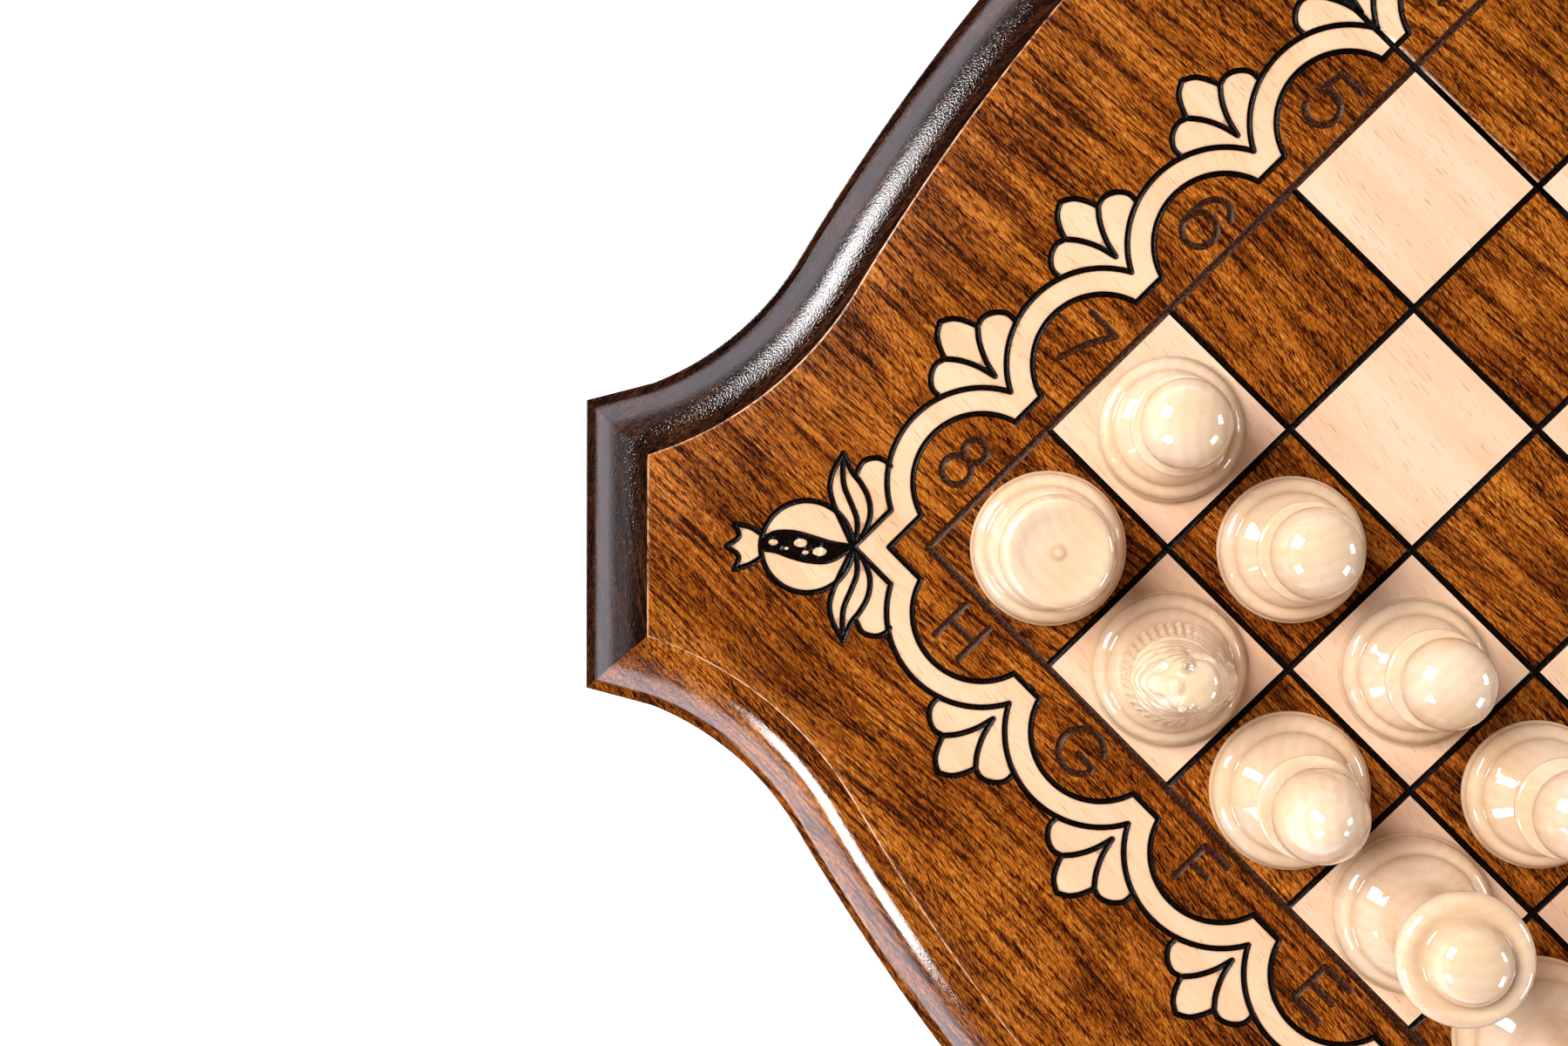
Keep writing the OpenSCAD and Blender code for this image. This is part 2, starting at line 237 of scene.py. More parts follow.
PETAL_DIVIDER = [(0, 17.8), (1.2, 22.3), (3.3, 26.5), (5.5, 29.2)]
PETAL_SIDE = [(5.5, 29.2), (7.8, 29.8), (10.6, 28.7), (12.6, 26.2), (12.7, 23.3)]
PETAL_TOP = [(5.5, 29.2), (4.3, 32.2), (2.6, 34.7), (0, 36.3)]
PETAL_FOOT = [(12.7, 23.3), (6.5, 19.8), (0, CUSP_O)]

# The corner's frame has e out along the diagonal from the field's corner and s across it.
KNOT = (18.0, 0.0)
HALF_LOBE = [(17.2, 17.7), (15.6, 20.5), (12.4, 21.4), (10.0, 20.5), (9.1, 19.4)]
UNDER_BAND = [(7.5, 16.0), (7.5, 9.0), (16.5, 1.0)]
LEAF_OUT = [(20.3, 22.6), (22.8, 18.1), (23.6, 14.3), (22.8, 10.6), (21.3, 7.2), (19.4, 3.2), KNOT]
LEAF_RIB = [(20.5, 20.8), (20.2, 14.9), (18.3, 10.1), (17.0, 6.4), (17.2, 2.4), KNOT]
LEAF_IN = [(20.3, 22.6), (18.3, 18.1), (16.2, 15.4), (14.3, 11.7), (13.9, 7.5), (15.6, 2.9), KNOT]
FRUIT_E = 29.1
FRUIT_R = 11.1
SLIT_UP = [(40, 1.6), (36.9, 3.3), (32.1, 3.4), (27.8, 2.3), (23.0, 0.9), (18.4, 0.2)]
SLIT_DOWN = [(18.4, -0.2), (20.9, -2.1), (24.1, -3.5), (28.3, -3.5), (32.6, -2.5), (36.6, -1.1), (40, -0.6)]
SEEDS = [(37.2, 1.0, 0.9), (34.0, -0.4, 0.45), (30.6, 0.9, 1.25), (29.4, -1.4, 0.6), (26.0, -1.2, 1.3)]
CROWN = [
    (40.1, 3.1), (42.8, 4.7), (46.6, 5.4), (45.5, 2.5), (48.6, 0), (45.6, -2.4), (46.7, -5.6),
    (42.7, -4.3), (40.1, -2.7),
]

SEED_LONG = 1.3
SEED_WIDE = 0.82

LINE_W = 1.4
SLIT_W = 1.2
GRID_W = 1.6
BORDER_W = 1.8
MARK_W = 1.7
BURNT, CUT = "burnt", "cut"


class Drawing:
    """Strokes to carve, regions left light, and the fruits' slits and seeds, in millimetres."""

    def __init__(self):
        self.strokes = []
        self.light = []
        self.slits = []
        self.seeds = []

    def stroke(self, points, width=LINE_W, kind=BURNT):
        self.strokes.append((np.array(points, float), width, kind))

    def placed(self, at):
        """Ways to add a stroke and a light region that carry points through `at`."""
        def stroke(points):
            self.stroke(at(np.array(points, float)))

        def light(points):
            self.light.append(at(np.array(points, float)))

        return stroke, light


def side_place(axis, sign, start, step):
    """Carries (t, o) on one side of the field to the board. axis 0 is a side along X, and t
    runs from `start` in the direction of `step`, which is 1 or -1."""
    def at(p):
        along = start + step * p[:, 0]
        out = sign * (FIELD + p[:, 1])
        return np.stack([along, out] if axis == 0 else [out, along], 1)
    return at


def corner_place(sx, sy):
    """Carries (e, s) at one corner of the field to the board."""
    def at(p):
        x = FIELD + (p[:, 0] + p[:, 1]) / ROOT_2
        y = FIELD + (p[:, 0] - p[:, 1]) / ROOT_2
        return np.stack([sx * x, sy * y], 1)
    return at


def draw_cell(stroke, light, at_start, at_end):
    """The band over one square, with a square end at a corner of the field."""
    left_in = [(-FLAT_O if at_start else 0, FLAT_O)]
    right_in = [(SQUARE + FLAT_O if at_end else SQUARE, FLAT_O)]
    inner = joined(left_in, arch(ARCH_IN, FLAT_O), right_in)
    outer = arch(ARCH_OUT, CUSP_O)
    stroke(inner)
    stroke(outer)
    left_out = [(0, CUSP_O)]
    right_out = [(SQUARE, CUSP_O)]
    if at_start:
        left_out = [(-CORNER_O, CORNER_O), (0, CORNER_O)]
        stroke(left_out)
    if at_end:
        right_out = [(SQUARE, CORNER_O), (SQUARE + CORNER_O, CORNER_O)]
        stroke(right_out)
    light(joined(inner, right_out[::-1], outer[::-1], left_out[::-1]))


def draw_palmette(stroke, light):
    """Three petals standing on the cusp between two arches."""
    top = smooth(PETAL_TOP)
    side = smooth(PETAL_SIDE)
    divider = smooth(PETAL_DIVIDER)
    for flip in (1, -1):
        for line in (top, side, divider):
            stroke(line * (flip, 1))
    right = joined(top[::-1], side, PETAL_FOOT)
    light(joined(right, right[::-1] * (-1, 1)))


def draw_square(drawing, at, at_start, at_end):
    """The ornament beside one square of the field's edge."""
    pen = drawing.placed(at)
    draw_cell(*pen, at_start, at_end)
    if not at_start:
        draw_palmette(*pen)


def draw_corner(stroke, light):
    """A fruit with a crown, two leaves and two half petals."""
    for flip in ((1, 1), (1, -1)):
        lobe = smooth(HALF_LOBE) * flip
        leaf_out = smooth(LEAF_OUT) * flip
        leaf_in = smooth(LEAF_IN) * flip
        for line in (lobe, leaf_out, leaf_in, smooth(LEAF_RIB) * flip):
            stroke(line)
        light(joined(leaf_out, leaf_in[::-1]))
        light(joined(lobe, np.array(UNDER_BAND) * flip, leaf_in[::-1]))
    crown = joined(*[smooth(CROWN[i:i + 3], 0.6) for i in (0, 2, 4, 6)])
    for shape in (ring(FRUIT_E, 0, FRUIT_R), crown):
        stroke(shape)
        light(shape)


def draw_slit(drawing, at):
    """The split in the fruit, cut away but for its seeds."""
    slit = [at(smooth(SLIT_UP)), at(smooth(SLIT_DOWN))]
    for line in slit:
        drawing.stroke(line, SLIT_W)
    drawing.slits.append(joined(*slit))
    for e, s, size in SEEDS:
        drawing.seeds.append(at(arc(e, s, SEED_LONG * size, SEED_WIDE * size, 0, 360, 12)))


# ---- Files and ranks: generic letters and figures, as pen strokes about their middle ----

# Figures are 12.8 high and letters 10.4, between the middles of the pen lines.
SIGNS = {
    "8": [ring(0, -2.7, 3.5), ring(0, 3.6, 2.8)],
    "7": [[(-4, 6.3), (4.1, 6.3)], smooth([(4.1, 6.3), (0.7, 0.4), (-1.8, -6.4)])],
    "6": [ring(0, -2.3, 4.1), smooth([(-4.1, -2.3), (-4, 2), (-2.2, 5.4), (1.1, 6.5), (3.7, 4)])],
    "5": [[(3.9, 6.3), (-2.4, 6.3), (-3.3, 0.4)], ring(0, -2.3, 4.1, 138, -150)],
    "4": [[(2, -6.4), (2, 6.4), (-4.4, -2.6), (4.6, -2.6)]],
    "3": [ring(0, 3.4, 2.9, 150, -90), ring(0, -2.8, 3.5, 90, -150)],
    "2": [ring(0, 2.9, 3.5, 165, -35), [(2.9, 0.9), (-3.8, -6.3), (4, -6.3)]],
    "1": [[(-2.4, 3.6), (0.8, 6.4), (0.8, -6.4)]],
    "h": [[(-4, -5.2), (-4, 5.2)], [(4, -5.2), (4, 5.2)], [(-4, 0), (4, 0)]],
    "g": [ring(0, 0, 5.4, 30, 337), [(5, -2.1), (4.6, -0.9), (0, -0.9)]],
    "f": [[(-3.6, -5.2), (-3.6, 5.2), (3.6, 5.2)], [(-3.6, 0), (1.9, 0)]],
    "e": [[(-3.9, -5.2), (-3.9, 5.2), (4, 5.2)], [(-3.9, 0), (3.4, 0)], [(-3.9, -5.2), (4, -5.2)]],
    "d": [[(-4, -5.2), (-4, 5.2)], joined([(-4, 5.2)], arc(-1, 0, 5, 5.2, 90, -90, 16), [(-4, -5.2)])],
    "c": [ring(0, 0, 5.4, 42, 318)],
    "b": [
        [(-3.6, -5.2), (-3.6, 5.2)],
        joined([(-3.6, 5.2)], ring(0.4, 2.7, 2.5, 90, -90), [(-3.6, 0.2)]),
        joined([(-3.6, 0.2)], ring(0.8, -2.5, 2.7, 90, -90), [(-3.6, -5.2)]),
    ],
    "a": [[(-4.4, -5.2), (0, 5.2)], [(4.4, -5.2), (0, 5.2)], [(-2.9, -1.7), (2.9, -1.7)]],
}
SIGN_O = 8.4


def draw_sign(drawing, sign, x, y, turned):
    """One sign about (x, y), upright for the -Y player or turned for the +Y player."""
    for line in SIGNS[sign]:
        p = np.array(line, float) * (-1 if turned else 1) + (x, y)
        drawing.stroke(p, MARK_W, CUT)


def half_drawing(sy):
    """All that is carved on one half. sy is -1 for half a and 1 for half b."""
    drawing = Drawing()
    for i in range(8):
        draw_square(drawing, side_place(0, sy, i * SQUARE - FIELD, 1), i == 0, i == 7)
    for sx in (-1, 1):
        for i in range(5):
            draw_square(drawing, side_place(1, sx, sy * (FIELD - i * SQUARE), -sy), i == 0, False)
        corner = corner_place(sx, sy)
        draw_corner(*drawing.placed(corner))
        draw_slit(drawing, corner)
    for i in range(-3, 4):
        drawing.stroke([(i * SQUARE, 0), (i * SQUARE, sy * FIELD)], GRID_W)
        if i > 0:
            drawing.stroke([(-FIELD, sy * i * SQUARE), (FIELD, sy * i * SQUARE)], GRID_W)
    edge = [(-FIELD, 0), (-FIELD, sy * FIELD), (FIELD, sy * FIELD), (FIELD, 0)]
    drawing.stroke(edge, BORDER_W, CUT)
    for i in range(8):
        middle = (i - 3.5) * SQUARE
        draw_sign(drawing, FILES[i], middle, sy * (FIELD + SIGN_O), sy > 0)
        if middle * sy > 0:
            rank = str(8 - i)
            draw_sign(drawing, rank, -FIELD - SIGN_O, middle + 0.5, False)
            draw_sign(drawing, rank, FIELD + SIGN_O, middle - 0.5, True)
    return drawing


# ---- Distance from points to the strokes ----

class Strokes:
    """Looks up how far points are from the nearest stroke's edge."""

    CELL = 6.0
    REACH = 3.0

    def __init__(self, strokes):
        rows = []
        for points, width, kind in strokes:
            for a, b in zip(points, points[1:]):
                rows.append((*a, *b, width / 2, kind == CUT))
        self.rows = np.array(rows, float)
        self.cells = {}
        for i, row in enumerate(self.rows):
            ends = row[:4].reshape(2, 2)
            pad = row[4] + self.REACH
            low = np.floor((ends.min(0) - pad) / self.CELL).astype(int)
            high = np.floor((ends.max(0) + pad) / self.CELL).astype(int)
            for cell in np.ndindex(*(high - low + 1)):
                self.cells.setdefault(tuple(low + cell), []).append(i)

    def gaps(self, points):
        """For each point: the gap to the nearest stroke, negative inside, that stroke's half
        width, and whether it is a plain cut."""
        points = np.asarray(points, float)
        gap = np.full(len(points), self.REACH)
        half = np.ones(len(points))
        cut = np.zeros(len(points), bool)
        keys = np.floor(points / self.CELL).astype(int)
        order = np.lexsort((keys[:, 1], keys[:, 0]))
        sorted_keys = keys[order]
        starts = np.flatnonzero(np.any(np.diff(sorted_keys, axis=0), axis=1)) + 1
        for group in np.split(order, starts):
            rows = self.rows[self.cells.get(tuple(keys[group[0]]), [])]
            if not len(rows):
                continue
            a = rows[None, :, :2]
            ab = rows[None, :, 2:4] - a
            ap = points[group][:, None, :] - a
            t = (ap * ab).sum(2) / np.maximum((ab * ab).sum(2), 1e-12)
            off = ap - ab * np.clip(t, 0, 1)[..., None]
            g = np.sqrt((off * off).sum(2)) - rows[None, :, 4]
            best = g.argmin(1)
            gap[group] = np.minimum(g[np.arange(len(group)), best], self.REACH)
            half[group] = rows[best, 4]
            cut[group] = rows[best, 5] > 0.5
        return gap, half, cut


def inside(points, polygon):
    """Which points lie in a closed polygon."""
    hit = np.zeros(len(points), bool)
    near = np.flatnonzero(((points >= polygon.min(0)) & (points <= polygon.max(0))).all(1))
    x, y = points[near].T
    for (x0, y0), (x1, y1) in zip(polygon, np.roll(polygon, -1, axis=0)):
        if y0 != y1:
            crosses = (y0 > y) != (y1 > y)
            hit[near] ^= crosses & (x < (x1 - x0) * (y - y0) / (y1 - y0) + x0)
    return hit


# ---- Meshes ----

def link(name, data):
    """A new object in the scene."""
    obj = bpy.data.objects.new(name, data)
    bpy.context.scene.collection.objects.link(obj)
    return obj


def add_mesh(name, vertices, faces, body, materials, node, indices=None, grain=None,
             marks=None, sharp=35, flat=None):
    """A mesh object in the row frame that stands for a CAD node and rides on a body.
    Vertices and grain are in millimetres; marks are numbers for each vertex, by name."""
    mesh = bpy.data.meshes.new(name)
    mesh.from_pydata((vertices * MM).tolist(), [], [list(map(int, f)) for f in faces])
    for material in materials:
        mesh.materials.append(material)
    if indices is not None:
        mesh.polygons.foreach_set("material_index", np.asarray(indices, np.int32))
    smooth_faces = np.ones(len(faces), bool) if flat is None else ~flat
    mesh.polygons.foreach_set("use_smooth", smooth_faces)
    attribute = mesh.attributes.new("grain", "FLOAT_VECTOR", "POINT")
    grain = np.asarray(vertices if grain is None else grain, np.float32)
    attribute.data.foreach_set("vector", (grain * MM).ravel())
    for key, values in (marks or {}).items():
        attribute = mesh.attributes.new(key, "FLOAT", "POINT")
        attribute.data.foreach_set("value", np.asarray(values, np.float32))
    mesh.update()
    mesh.set_sharp_from_angle(angle=math.radians(sharp))
    obj = link(name, mesh)
    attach(obj, body)
    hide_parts(node)
    return obj


# ---- Materials ----

class Nodes:
    """Short ways to build a material's nodes."""

    def __init__(self, name):
        self.material = bpy.data.materials.new(name)
        self.material.use_nodes = True
        self.tree = self.material.node_tree
        self.tree.nodes.clear()

    def node(self, kind, inputs=None, **settings):
        made = self.tree.nodes.new(kind)
        for key, value in settings.items():
            setattr(made, key, value)
        for key, value in (inputs or {}).items():
            self.put(made.inputs[key], value)
        return made

    def put(self, socket, value):
        if isinstance(value, bpy.types.NodeSocket):
            self.tree.links.new(value, socket)
        else:
            socket.default_value = value

    def attribute(self, key, output="Vector"):
        return self.node("ShaderNodeAttribute", attribute_name=key).outputs[output]

    def object_place(self):
        return self.node("ShaderNodeTexCoord").outputs["Object"]

    def noise(self, place, scale, detail=2.0, rough=0.5, turn=0.0, shift=(0, 0, 0)):
        """Noise with `scale` repeats per metre: one number, or one each for X, Y and Z, with
        the place turned about Z by `turn` degrees and shifted before it is scaled."""
        if isinstance(scale, tuple):
            angle = (0, 0, math.radians(turn))
            for inputs in ({"Location": shift, "Rotation": angle}, {"Scale": scale}):
                place = self.node("ShaderNodeMapping", {"Vector": place, **inputs}).outputs[0]
            scale = 1.0
        inputs = {"Vector": place, "Scale": scale, "Detail": detail, "Roughness": rough}
        return self.node("ShaderNodeTexNoise", inputs).outputs["Fac"]

    def math(self, operation, a, b=0.0, c=0.0, clamp=False):
        inputs = {0: a, 1: b, 2: c}
        made = self.node("ShaderNodeMath", inputs, operation=operation, use_clamp=clamp)
        return made.outputs[0]

    def times(self, a, b):
        return self.math("MULTIPLY", a, b)

    def times_plus(self, a, b, c):
        return self.math("MULTIPLY_ADD", a, b, c)

    def range(self, value, low, high, to_low=0.0, to_high=1.0):
        """A smooth step from low to high."""
        inputs = {"Value": value, "From Min": low, "From Max": high, "To Min": to_low, "To Max": to_high}
        return self.node("ShaderNodeMapRange", inputs, interpolation_type="SMOOTHSTEP").outputs["Result"]

    def ramp(self, value, stops):
        """Colours along a value; stops are (place, sRGB colour from 0 to 255)."""
        made = self.node("ShaderNodeValToRGB", {"Fac": value})
        elements = made.color_ramp.elements
        for i, (place, rgb) in enumerate(stops):
            element = elements[i] if i < 2 else elements.new(place)
            element.position = place
            element.color = colour(*rgb)
        return made.outputs["Color"]

    def mix(self, share, a, b):
        """Colour a, or b where the share is 1. A colour is a socket or sRGB from 0 to 255."""
        made = self.node("ShaderNodeMix", data_type="RGBA", blend_type="MIX", clamp_factor=True)
        for key, value in (("Factor", share), ("A", a), ("B", b)):
            self.put(made.inputs[key], colour(*value) if isinstance(value, tuple) else value)
        return made.outputs["Result"]

    def bump(self, height, distance, strength):
        inputs = {"Height": height, "Distance": distance * MM, "Strength": strength}
        return self.node("ShaderNodeBump", inputs).outputs["Normal"]

    def finish(self, base, rough, normal=None, **sockets):
        """Ends the material in one Principled shader."""
        shader = self.node("ShaderNodeBsdfPrincipled", {"Base Color": base, "Roughness": rough})
        if normal is not None:
            self.put(shader.inputs["Normal"], normal)
        for key, value in sockets.items():
            self.put(shader.inputs[key.replace("_", " ")], value)
        self.node("ShaderNodeOutputMaterial", {"Surface": shader.outputs[0]})
        return self.material

    def lacquered(self, base, rough, coat, coat_rough, normal=None, gloss=None):
        """The same under a coat of lacquer; gloss is the lacquer's own normal."""
        sockets = {"Coat_Weight": coat, "Coat_Roughness": coat_rough, "Specular_IOR_Level": 0.0}
        if normal is not None:
            sockets["Coat_Normal"] = gloss or normal
        return self.finish(base, rough, normal, **sockets)


def linear(value):
    """An sRGB number from 0 to 255 as linear light."""
    c = value / 255
    return c / 12.92 if c <= 0.04045 else ((c + 0.055) / 1.055) ** 2.4


def colour(r, g, b):
    return (linear(r), linear(g), linear(b), 1.0)


def stained_grain(n, place):
    """How light stained beech is, from 0 to 1, with its fibres and flecks. The grain runs
    along X: broad bands, long dark streaks, short flecks and fine fibres."""
    drift = n.noise(place, (7, 12, 12), 1)
    sway = n.times(n.math("SUBTRACT", drift, 0.5), 0.024)
    sway = n.node("ShaderNodeCombineXYZ", {"Y": sway}).outputs[0]
    swayed = n.node("ShaderNodeVectorMath", {0: place, 1: sway}, operation="ADD").outputs[0]
    bands = n.noise(swayed, (14, 170, 60), 3, 0.6, turn=-3)
    patches = n.noise(swayed, (40, 90, 60), 3)
    streaks = n.noise(swayed, (40, 900, 300), 3, 0.65, turn=-3, shift=(0.7, 0, 0))
    flecks = n.noise(swayed, (360, 3000, 1800), 2, 0.55, turn=8)
    fibres = n.range(n.noise(swayed, (620, 5600, 4000), 2, 0.65, turn=12), 0.28, 0.72)
    tone = n.range(n.times_plus(bands, 0.55, n.times(patches, 0.45)), 0.38, 0.62)
    value = n.times_plus(tone, 0.3, 0.18)
    value = n.times_plus(fibres, 0.66, value)
    value = n.times_plus(n.range(flecks, 0.5, 0.64), -0.46, value)
    value = n.times_plus(n.range(streaks, 0.46, 0.66), -0.46, value)
    return n.math("ADD", value, clamp=True), fibres, flecks


def stained_wood(name, stops, own_grain=True, coat=0.3, coat_rough=0.14, peel=None, worn_and_lit_edge=False):
    """Stained and lacquered beech. `peel` is the depth and scale of the lacquer's dimples. Where asked, the
    rim is painted paler in patches, as stain rubbed off and as a painted highlight on the arris.
    """
    n = Nodes(name)
    place = n.attribute("grain") if own_grain else n.object_place()
    value, fibres, flecks = stained_grain(n, place)
    base = n.ramp(value, stops)
    # Paler patches along the rim: stain rubbed off, and a painted highlight along the rounded arris.
    if worn_and_lit_edge:
        rubbed_and_lit = n.range(n.attribute("worn_and_lit_edge", "Fac"), 0.25, 0.7)
        rubbed_and_lit = n.times(rubbed_and_lit, n.range(n.noise(place, 420, 2, 0.6), 0.35, 0.6))
        base = n.mix(n.times(rubbed_and_lit, 0.75), base, (226, 172, 122))
    normal = n.bump(n.times_plus(fibres, 0.7, n.times(flecks, 0.3)), 0.05, 0.5)
    gloss = n.bump(n.noise(place, peel[1], 1, 0.6), peel[0], 0.6) if peel else None
    return n.lacquered(base, 0.4, coat, coat_rough, normal, gloss)


def light_beech(name, pale, deep, scorch):
    """Bare beech with short brown ray flecks, browned beside the burnt lines."""
    n = Nodes(name)
    place = n.attribute("grain")
    soft = n.noise(place, (14, 120, 80), 3, 0.6)
    fine = n.noise(place, (260, 2400, 1600), 2, 0.6, turn=12)
    base = n.mix(n.range(soft, 0.3, 0.72), pale, deep)
    base = n.mix(n.times(n.range(fine, 0.5, 0.85), 0.22), base, (186, 132, 82))
    ray = n.noise(place, (230, 3200, 1200), 0, turn=5)
    where = n.noise(place, (60, 90, 60), 1, shift=(0.3, 0.1, 0))
    rays = n.range(n.math("ADD", n.times(where, 0.12), ray), 0.77, 0.84)
    base = n.mix(n.times(rays, 0.5), base, (172, 120, 72))
    if scorch:
        near = n.attribute("scorch", "Fac")
        blot = n.noise(place, (90, 260, 200), 3, 0.7)
        bleed = n.times(near, n.range(blot, 0.6, 0.74))
        base = n.mix(n.times(bleed, 0.75), base, (168, 104, 48))
        base = n.mix(n.times(n.math("POWER", near, 5.0), 0.55), base, (120, 66, 28))
    normal = n.bump(n.times_plus(fine, 0.6, rays), 0.03, 0.4)
    return n.lacquered(base, 0.42, 0.4, 0.2, normal)


def burnt_line(name, dark, pale, coat):
    """The bottom of a burnt or engraved line, crusty under the lacquer."""
    n = Nodes(name)
    place = n.attribute("grain")
    crust = n.noise(place, 2200, 3, 0.7)
    long = n.noise(place, (500, 1400, 900))
    base = n.mix(n.range(crust, 0.42, 0.7), dark, pale)
    normal = n.bump(n.times_plus(long, 0.5, crust), 0.16, 0.8)
    return n.lacquered(base, 0.6, coat, 0.1, normal)


def turned_wood(name, pale, deep, streak_and_shade, coat_rough):
    """Wood turned on a lathe and lacquered: grain up the piece, rings from above, and the creases darkened
    by gathered lacquer and painted shade.
    """
    n = Nodes(name)
    place = n.attribute("grain")
    warp = n.noise(place, (40, 40, 8))
    x, y, _ = n.node("ShaderNodeSeparateXYZ", {"Vector": place}).outputs
    far = n.math("SQRT", n.math("ADD", n.math("POWER", x, 2.0), n.math("POWER", y, 2.0)))
    rings = n.range(n.math("SINE", n.times_plus(far, 2100, n.times(warp, 9))), -1, 1)
    fibre = n.noise(place, (900, 900, 45), 3, 0.6)
    cloud = n.noise(place, (70, 70, 22))
    base = n.mix(n.range(cloud, 0.3, 0.7), pale, deep)
    # The creases darken towards the streak colour: gathered lacquer, and painted shade in the hollows.
    crease_pool_and_shade = n.attribute("crease_pool_and_shade", "Fac")
    for share, most in ((rings, 0.1), (n.range(fibre, 0.5, 0.8), 0.24), (crease_pool_and_shade, 0.5)):
        base = n.mix(n.times(share, most), base, streak_and_shade)
    spot = n.noise(place, (120, 120, 60), 1, shift=(0.2, 0.4, 0))
    base = n.mix(n.times(n.range(spot, 0.79, 0.84), 0.7), base, (96, 74, 52))
    return n.lacquered(base, 0.4, 1.0, coat_rough)


def felt(name, dark, pale):
    n = Nodes(name)
    place = n.attribute("grain")
    fuzz = n.noise(place, 2600, 4, 0.75)
    lumps = n.noise(place, 240)
    value = n.times_plus(fuzz, 0.7, n.times(lumps, 0.3))
    base = n.mix(n.range(value, 0.35, 0.65), dark, pale)
    return n.finish(base, 0.95, n.bump(fuzz, 0.3, 0.8), Sheen_Weight=0.4, Sheen_Roughness=0.5)


def metal(name, rgb, rough, scratch):
    n = Nodes(name)
    place = n.object_place()
    brushed = n.noise(place, (120, 2600, 2600), 3, 0.6)
    tarnish = n.noise(place, 160, 3)
    dull = tuple(0.72 * c for c in rgb)
    base = n.mix(n.range(tarnish, 0.45, 0.75), rgb, dull)
    surface = n.range(brushed, 0.3, 0.7, rough - 0.06, rough + 0.1)
    return n.finish(base, surface, n.bump(brushed, scratch, 0.4), Metallic=1.0)


STAIN = [(0.0, (26, 10, 5)), (0.25, (66, 27, 7)), (0.5, (120, 57, 12)), (0.78, (170, 95, 26)),
         (1.0, (208, 136, 56))]
DEEP_STAIN = [(0.0, (12, 6, 4)), (0.35, (28, 13, 8)), (0.7, (50, 25, 13)), (1.0, (88, 46, 24))]

PANEL = stained_wood("stained_panel", STAIN, worn_and_lit_edge=True)
DARK_MOULDING = stained_wood("dark_moulding", DEEP_STAIN, coat=0.55, coat_rough=0.05, peel=(0.16, 2000))
PALE_MOULDING = stained_wood("pale_moulding", STAIN, coat=1.0, coat_rough=0.05, peel=(0.04, 2400))
SPINE = stained_wood("stained_spine", DEEP_STAIN, own_grain=False, coat=0.4)
SQUARE_WOOD = light_beech("light_squares", (240, 203, 173), (227, 185, 151), False)
BAND_WOOD = light_beech("light_band", (240, 199, 164), (226, 182, 144), True)
# This black also stands in for painted shade at the fold, on half a's bevel and the walls in the gap.
BURN_AND_SEAM_SHADE = burnt_line("burnt_line", (6, 4, 3), (26, 16, 11), 0.22)
GROOVE = burnt_line("cut_line", (34, 15, 7), (92, 54, 32), 0.15)
LIGHT = turned_wood("light_wood", (234, 205, 177), (223, 190, 154), (184, 140, 98), 0.05)
DARK = turned_wood("dark_wood", (66, 30, 15), (44, 19, 10), (24, 10, 5), 0.06)
CASE_FELT = felt("case_felt", (16, 42, 26), (46, 86, 56))
BRASS = metal("hinge_brass", (206, 170, 92), 0.28, 0.02)
STEEL = metal("magnet_steel", (190, 192, 196), 0.22, 0.01)


# ---- The carved playing panel ----

SCORCH = 1.1
GROOVE_D = 0.6
CUT_D = 0.8 * GROOVE_D
SEED_D = 0.1
GROOVE_ROUND = 2.2
LINE_GAP = 0.05
SHARP_TURN = 32
PANEL_MATERIALS = [PANEL, SQUARE_WOOD, BAND_WOOD, BURN_AND_SEAM_SHADE, GROOVE]
STAINED, LIGHT_SQUARE, BARE, BLACKENED_AND_SHADE, ENGRAVED = range(5)


def runs(points):
    """A polyline split where it turns sharply."""
    step = np.diff(points, axis=0)
    angle = np.degrees(np.arctan2(step[:, 1], step[:, 0]))
    turn = np.abs((np.diff(angle) + 180) % 360 - 180)
    breaks = [0, *(np.flatnonzero(turn > SHARP_TURN) + 1), len(points) - 1]
    return [points[a:b + 1] for a, b in zip(breaks, breaks[1:])]


def rail_line(points, r):
    """The two lines at distance r beside a run, joined by round ends."""
    step = np.diff(points, axis=0)
    step /= np.linalg.norm(step, axis=1)[:, None]
    along = np.concatenate([step[:1], step[:-1] + step[1:], step[-1:]])
    along /= np.linalg.norm(along, axis=1)[:, None]
    side = np.stack([-along[:, 1], along[:, 0]], 1) * r
    ends = []
    for point, off in ((points[-1], side[-1]), (points[0], -side[0])):
        start = math.degrees(math.atan2(off[1], off[0]))
        ends.append(arc(*point, r, r, start, start - 180, 4)[1:-1])
    return joined(points + side, ends[0], (points - side)[::-1], ends[1])


def triangulate(drawing, outline, inner_outline):
    """Triangles over the half's outline, with an edge along every line of the carving."""
    points = []
    edges = []

    def add(line, closed=True):
        start = len(points)
        points.extend(map(tuple, line))
        edges.extend((i - 1, i) for i in range(start + 1, len(points)))
        if closed:
            edges.append((len(points) - 1, start))

    add(outline)
    add(inner_outline)
    for stroke, width, _ in drawing.strokes:
        for run in runs(spaced(stroke, LINE_GAP)):
            for r in (width / 2 + SCORCH, width / 2, width * 0.3):
                add(rail_line(run, r))
            add(run, closed=False)
    for seed in drawing.seeds:
        add(seed)
    out = delaunay_2d_cdt([Vector(p) for p in points], edges, [], 0, 1e-3, False)
    points = np.array([tuple(v) for v in out[0]])
    faces = np.array([f for f in out[2] if len(f) == 3])
    faces = faces[inside(points[faces].mean(1), outline)]
    used, back = np.unique(faces, return_inverse=True)
    return points[used], back.reshape(-1, 3)


